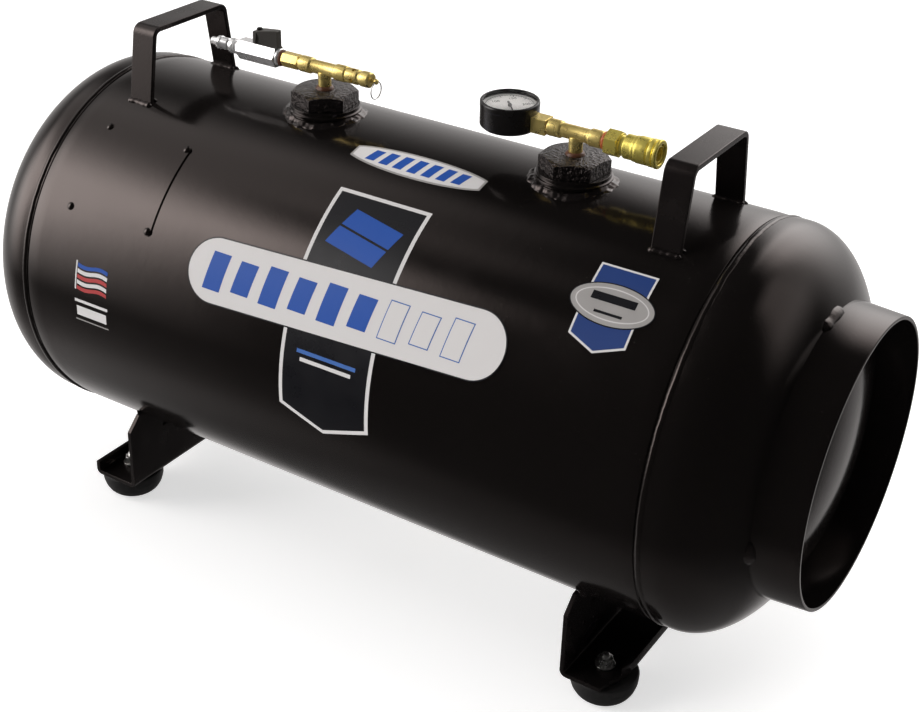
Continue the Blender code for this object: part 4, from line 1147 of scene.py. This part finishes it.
def foot_bracket(side, sign):
    """Folded bracket: upright web saddled to the shell, base plate and lip."""
    top, bottom = PLATE_TOP, PLATE_TOP - PLATE_THICK
    outer = BRACKET_WEB[side]
    edge, web, lip, bend = outer + BRACKET_REACH, outer - PLATE_THICK, PLATE_TOP + 10, 6.5
    corner = arc((web + bend, bottom + bend), bend, 180, 270, 10)
    inner = arc((web + bend, bottom + bend), bend - PLATE_THICK, 270, 180, 8)
    lip_bend = 5.4
    lip_out = arc((edge - lip_bend, bottom + lip_bend), lip_bend, 270, 360, 8)
    lip_in = arc((edge - lip_bend, bottom + lip_bend), lip_bend - PLATE_THICK, 360, 270, 6)
    profile = [(web, -110)] + corner + lip_out + [(edge, lip), (edge - PLATE_THICK, lip)]
    profile += lip_in + inner + [(outer, -110)]
    stand = Matrix(((1, 0, 0, 0), (0, 0, -1, 0), (0, 1, 0, 0), (0, 0, 0, 1)))
    turn = spin("Z", 0 if sign > 0 else 180)
    blank = prism_mesh("bracket", profile, -BRACKET_HALF, BRACKET_HALF, turn=turn @ stand)
    tank = lathe_mesh("tank", wall(0, RADIUS + 0.1, -SEAM_X + 1, SEAM_X - 1), turn=ALONG_X,
                      steps=TANK_STEPS)
    tools = [tank]
    across = turn @ ACROSS
    notch = box(72, 94, -159.5, -130)
    crop = [(BRACKET_HALF + 5, -100), (BRACKET_HALF + 5, -146), (BRACKET_HALF, -146),
            (BRACKET_HALF - 14, -132), (BRACKET_HALF - 40, -129), (BRACKET_HALF - 40, -100)]
    for mirror in (1, -1):
        for shape in (notch, crop):
            tools.append(prism_mesh("tool", [(mirror * y, z) for y, z in shape], 200, 340,
                                    turn=across))
    start = -BRACKET_HALF
    tip = [(edge - 13, start - 1), (edge + 1, start - 1), (edge + 1, start + 36),
           (edge, start + 34)]
    tools.append(prism_mesh("tool", tip, -230, -180, turn=turn))
    name = f"foot_bracket_{side}"
    finish_piece(f"{name}_sheet", cut(blank, *tools), SATIN, node=name, bevel=0.7)
    for mirror in (1, -1):
        weld = [mirror * (137 + 10.5 * step / 39) for step in range(40)]
        path = [around(sign * (outer + 1.2), RADIUS, degrees) for degrees in weld]
        ups = [around(sign * 0.7, 0.7, degrees) for degrees in weld]
        rough_bead(f"{name}_weld_{'front' if mirror > 0 else 'back'}", path, ups, width=6.0,
                   height=2.6, seed=40.0 + sign + mirror, lump=0.5, pitch=5.0)


def foot(where, x, y):
    """Rubber foot with its bolt, washer and nut."""
    top = PLATE_TOP - PLATE_THICK - 0.3 - FLOOR_Z
    outline = [(4.3, 9), (9.5, 9), (9.5, 0), (19, 0), (22.5, 1.4), (25.6, 4.4), (28.2, 9),
               (30, 15), (FOOT_RADIUS, top - 1.4), (FOOT_RADIUS - 1.2, top), (4.3, top)]
    lathe(f"rubber_{where}", outline, RUBBER, (x, y, FLOOR_Z), steps=72, soften=1.2,
          node=f"rubber_foot_{where}")
    bolt = [(0, 4.2), (7.5, 4.2), (7.5, 8.7), (3.9, 8.7)]
    thread_top = 41.0
    for turn_index in range(18):
        height = thread_top - 15 + turn_index * 0.8
        bolt += [(3.9, height), (3.45, height + 0.4)]
    bolt += [(3.4, thread_top - 0.4), (2.9, thread_top), (0, thread_top)]
    lathe(f"bolt_{where}", bolt, ZINC, (x, y, FLOOR_Z), steps=32, soften=0,
          node=f"foot_bolt_{where}")
    low = PLATE_TOP + 0.2
    lathe(f"washer_{where}", wall(4.4, 9.0, low, low + 1.4), ZINC, (x, y, 0), steps=48,
          node=f"foot_washer_{where}")
    nut = hexagon_nut("nut", 12.7, low + 1.5, low + 8.1, 12, 0.8, (x, y, 0))
    finish_piece(f"nut_{where}", nut, ZINC, node=f"foot_nut_{where}", bevel=0.2)


def feet():
    for side, sign in (("left", -1), ("right", 1)):
        foot_bracket(side, sign)
        for end, y in (("front", -FOOT_Y), ("back", FOOT_Y)):
            foot(f"{end}_{side}", sign * FOOT_X, y)


def carried_over():
    """Finishes for the CAD pieces that are shown as they are."""
    finishes = {"black_paint": SATIN, "rough_black": CAST, "black_plastic": CASE, "brass": BRASS,
                "chrome": CHROME, "steel": ZINC, "rubber": RUBBER, "white_dial": DIAL,
                "clear": GLASS, "nylon": NYLON}
    for node, piece in frame["nodes"].items():
        piece.data.materials.clear()
        piece.data.materials.append(finishes[SLOTS[node]])


# ------------------------------------------------------------------ studio
# Soft lights around the tank, in degrees: azimuth from +Y at which each fades in and is full, is
# gone again and is still full, the same for its elevation, and its strength.  They are the left
# panel, back panel, horizon glow, high left glow, right back glow and floor glow.
PANELS = (
    ((-146, -132, -88, -126), (-22, 20, 51, 32), 5.8),
    ((-28, -9, 46, 6), (-12, 34, 68, 38), 3.2),
    ((-150, -95, 45, 0), (-58, -42, 48, 6), 0.62),
    ((-130, -108, -50, -78), (26, 44, 68, 52), 0.9),
    ((28, 48, 84, 62), (2, 24, 66, 46), 0.9),
    ((-180, -179, 180, 179), (-91, -90, -40, -62), 0.12),
)


def camera():
    eye = bpy.data.cameras.new("camera")
    eye.lens = 61.305
    eye.sensor_width = 36.0
    holder = add_object("camera", eye)
    holder.location = AXIS + Vector((711.2, -1064.8, 693.0)) * MM
    holder.rotation_euler = [math.radians(angle) for angle in (60.15, -1.555, 32.738)]
    bpy.context.scene.camera = holder


def pale_stage(name, mesh, emission):
    """A plain pale thing around the object, which reflections don't show."""
    pale = Shader(f"{name}_pale", (0.8, 0.8, 0.8), 0.9, specular_ior_level=0.0)
    pale.set("Emission Color", (1, 1, 1, 1))
    pale.set("Emission Strength", emission)
    mesh.materials.append(pale.material)
    thing = add_object(name, mesh)
    thing.visible_glossy = False
    return thing


def floor():
    reach = 9.0
    mesh = bpy.data.meshes.new("floor")
    mesh.from_pydata([(-reach, -reach, 0), (reach, -reach, 0), (reach, reach, 0),
                      (-reach, reach, 0)], [], [(0, 1, 2, 3)])
    pale_stage("floor", mesh, 0.62)


def backdrop():
    """Dome behind everything, seen only directly: light passes through it."""
    mesh = bpy.data.meshes.new("backdrop")
    editor = bmesh.new()
    bmesh.ops.create_uvsphere(editor, u_segments=64, v_segments=32, radius=8.5)
    editor.to_mesh(mesh)
    editor.free()
    dome = pale_stage("backdrop", mesh, 1.0)
    dome.visible_diffuse = False
    dome.visible_shadow = False
    dome.visible_transmission = False


def overhead_light():
    """One large soft light above, kept out of reflections."""
    lamp = bpy.data.lights.new("overhead", "AREA")
    lamp.shape = "SQUARE"
    lamp.size = 4.5
    lamp.energy = 60
    holder = add_object("overhead", lamp)
    holder.location = (0.0, 0.2, 3.2)
    holder.rotation_euler = (-holder.location).to_track_quat("-Z", "Y").to_euler()
    holder.visible_glossy = False


def sky():
    """Studio surroundings: the soft lights of PANELS between dark walls."""
    world = bpy.data.worlds.new("studio")
    bpy.context.scene.world = world
    world.use_nodes = True
    tree = world.node_tree
    tree.nodes.clear()
    output = tree.nodes.new("ShaderNodeOutputWorld")
    background = tree.nodes.new("ShaderNodeBackground")
    tree.links.new(background.outputs[0], output.inputs[0])
    direction = tree.nodes.new("ShaderNodeSeparateXYZ")
    where = tree.nodes.new("ShaderNodeTexCoord").outputs["Generated"]
    tree.links.new(where, direction.inputs[0])

    def math_node(operation, *values):
        node = tree.nodes.new("ShaderNodeMath")
        node.operation = operation
        for socket, value in zip(node.inputs, values):
            if isinstance(value, (int, float)):
                socket.default_value = value
            else:
                tree.links.new(value, socket)
        return node.outputs[0]

    azimuth = math_node("ARCTAN2", direction.outputs["X"], direction.outputs["Y"])
    elevation = math_node("ARCSINE", direction.outputs["Z"])

    def edge(value, start, end):
        """0 at the start angle and 1 at the end angle, in degrees, with a smooth step between."""
        node = tree.nodes.new("ShaderNodeMapRange")
        node.interpolation_type = "SMOOTHSTEP"
        tree.links.new(value, node.inputs["Value"])
        node.inputs["From Min"].default_value = math.radians(start)
        node.inputs["From Max"].default_value = math.radians(end)
        return node.outputs["Result"]

    glow = 0.02
    for sides, heights, strength in PANELS:
        shape = math_node("MULTIPLY", edge(azimuth, *sides[:2]), edge(azimuth, *sides[2:]))
        for limits in (heights[:2], heights[2:]):
            shape = math_node("MULTIPLY", shape, edge(elevation, *limits))
        glow = math_node("ADD", glow, math_node("MULTIPLY", shape, strength))
    tree.links.new(glow, background.inputs["Strength"])
    background.inputs["Color"].default_value = (1.0, 0.965, 0.95, 1)


def studio():
    scene = bpy.context.scene
    scene.view_settings.view_transform = "Standard"
    sky()
    floor()
    backdrop()
    overhead_light()
    camera()


# ------------------------------------------------------------------ build
carried_over()
pressure_vessel()
guard_ring()
handle("handle_left", -HANDLE_X)
handle("handle_right", HANDLE_X)
for side in BUNG_X:
    bung(side)
    tee(side)
ball_valve()
relief_valve()
gauge()
quick_coupler()
springs()
data_plate()
decals()
feet()
studio()
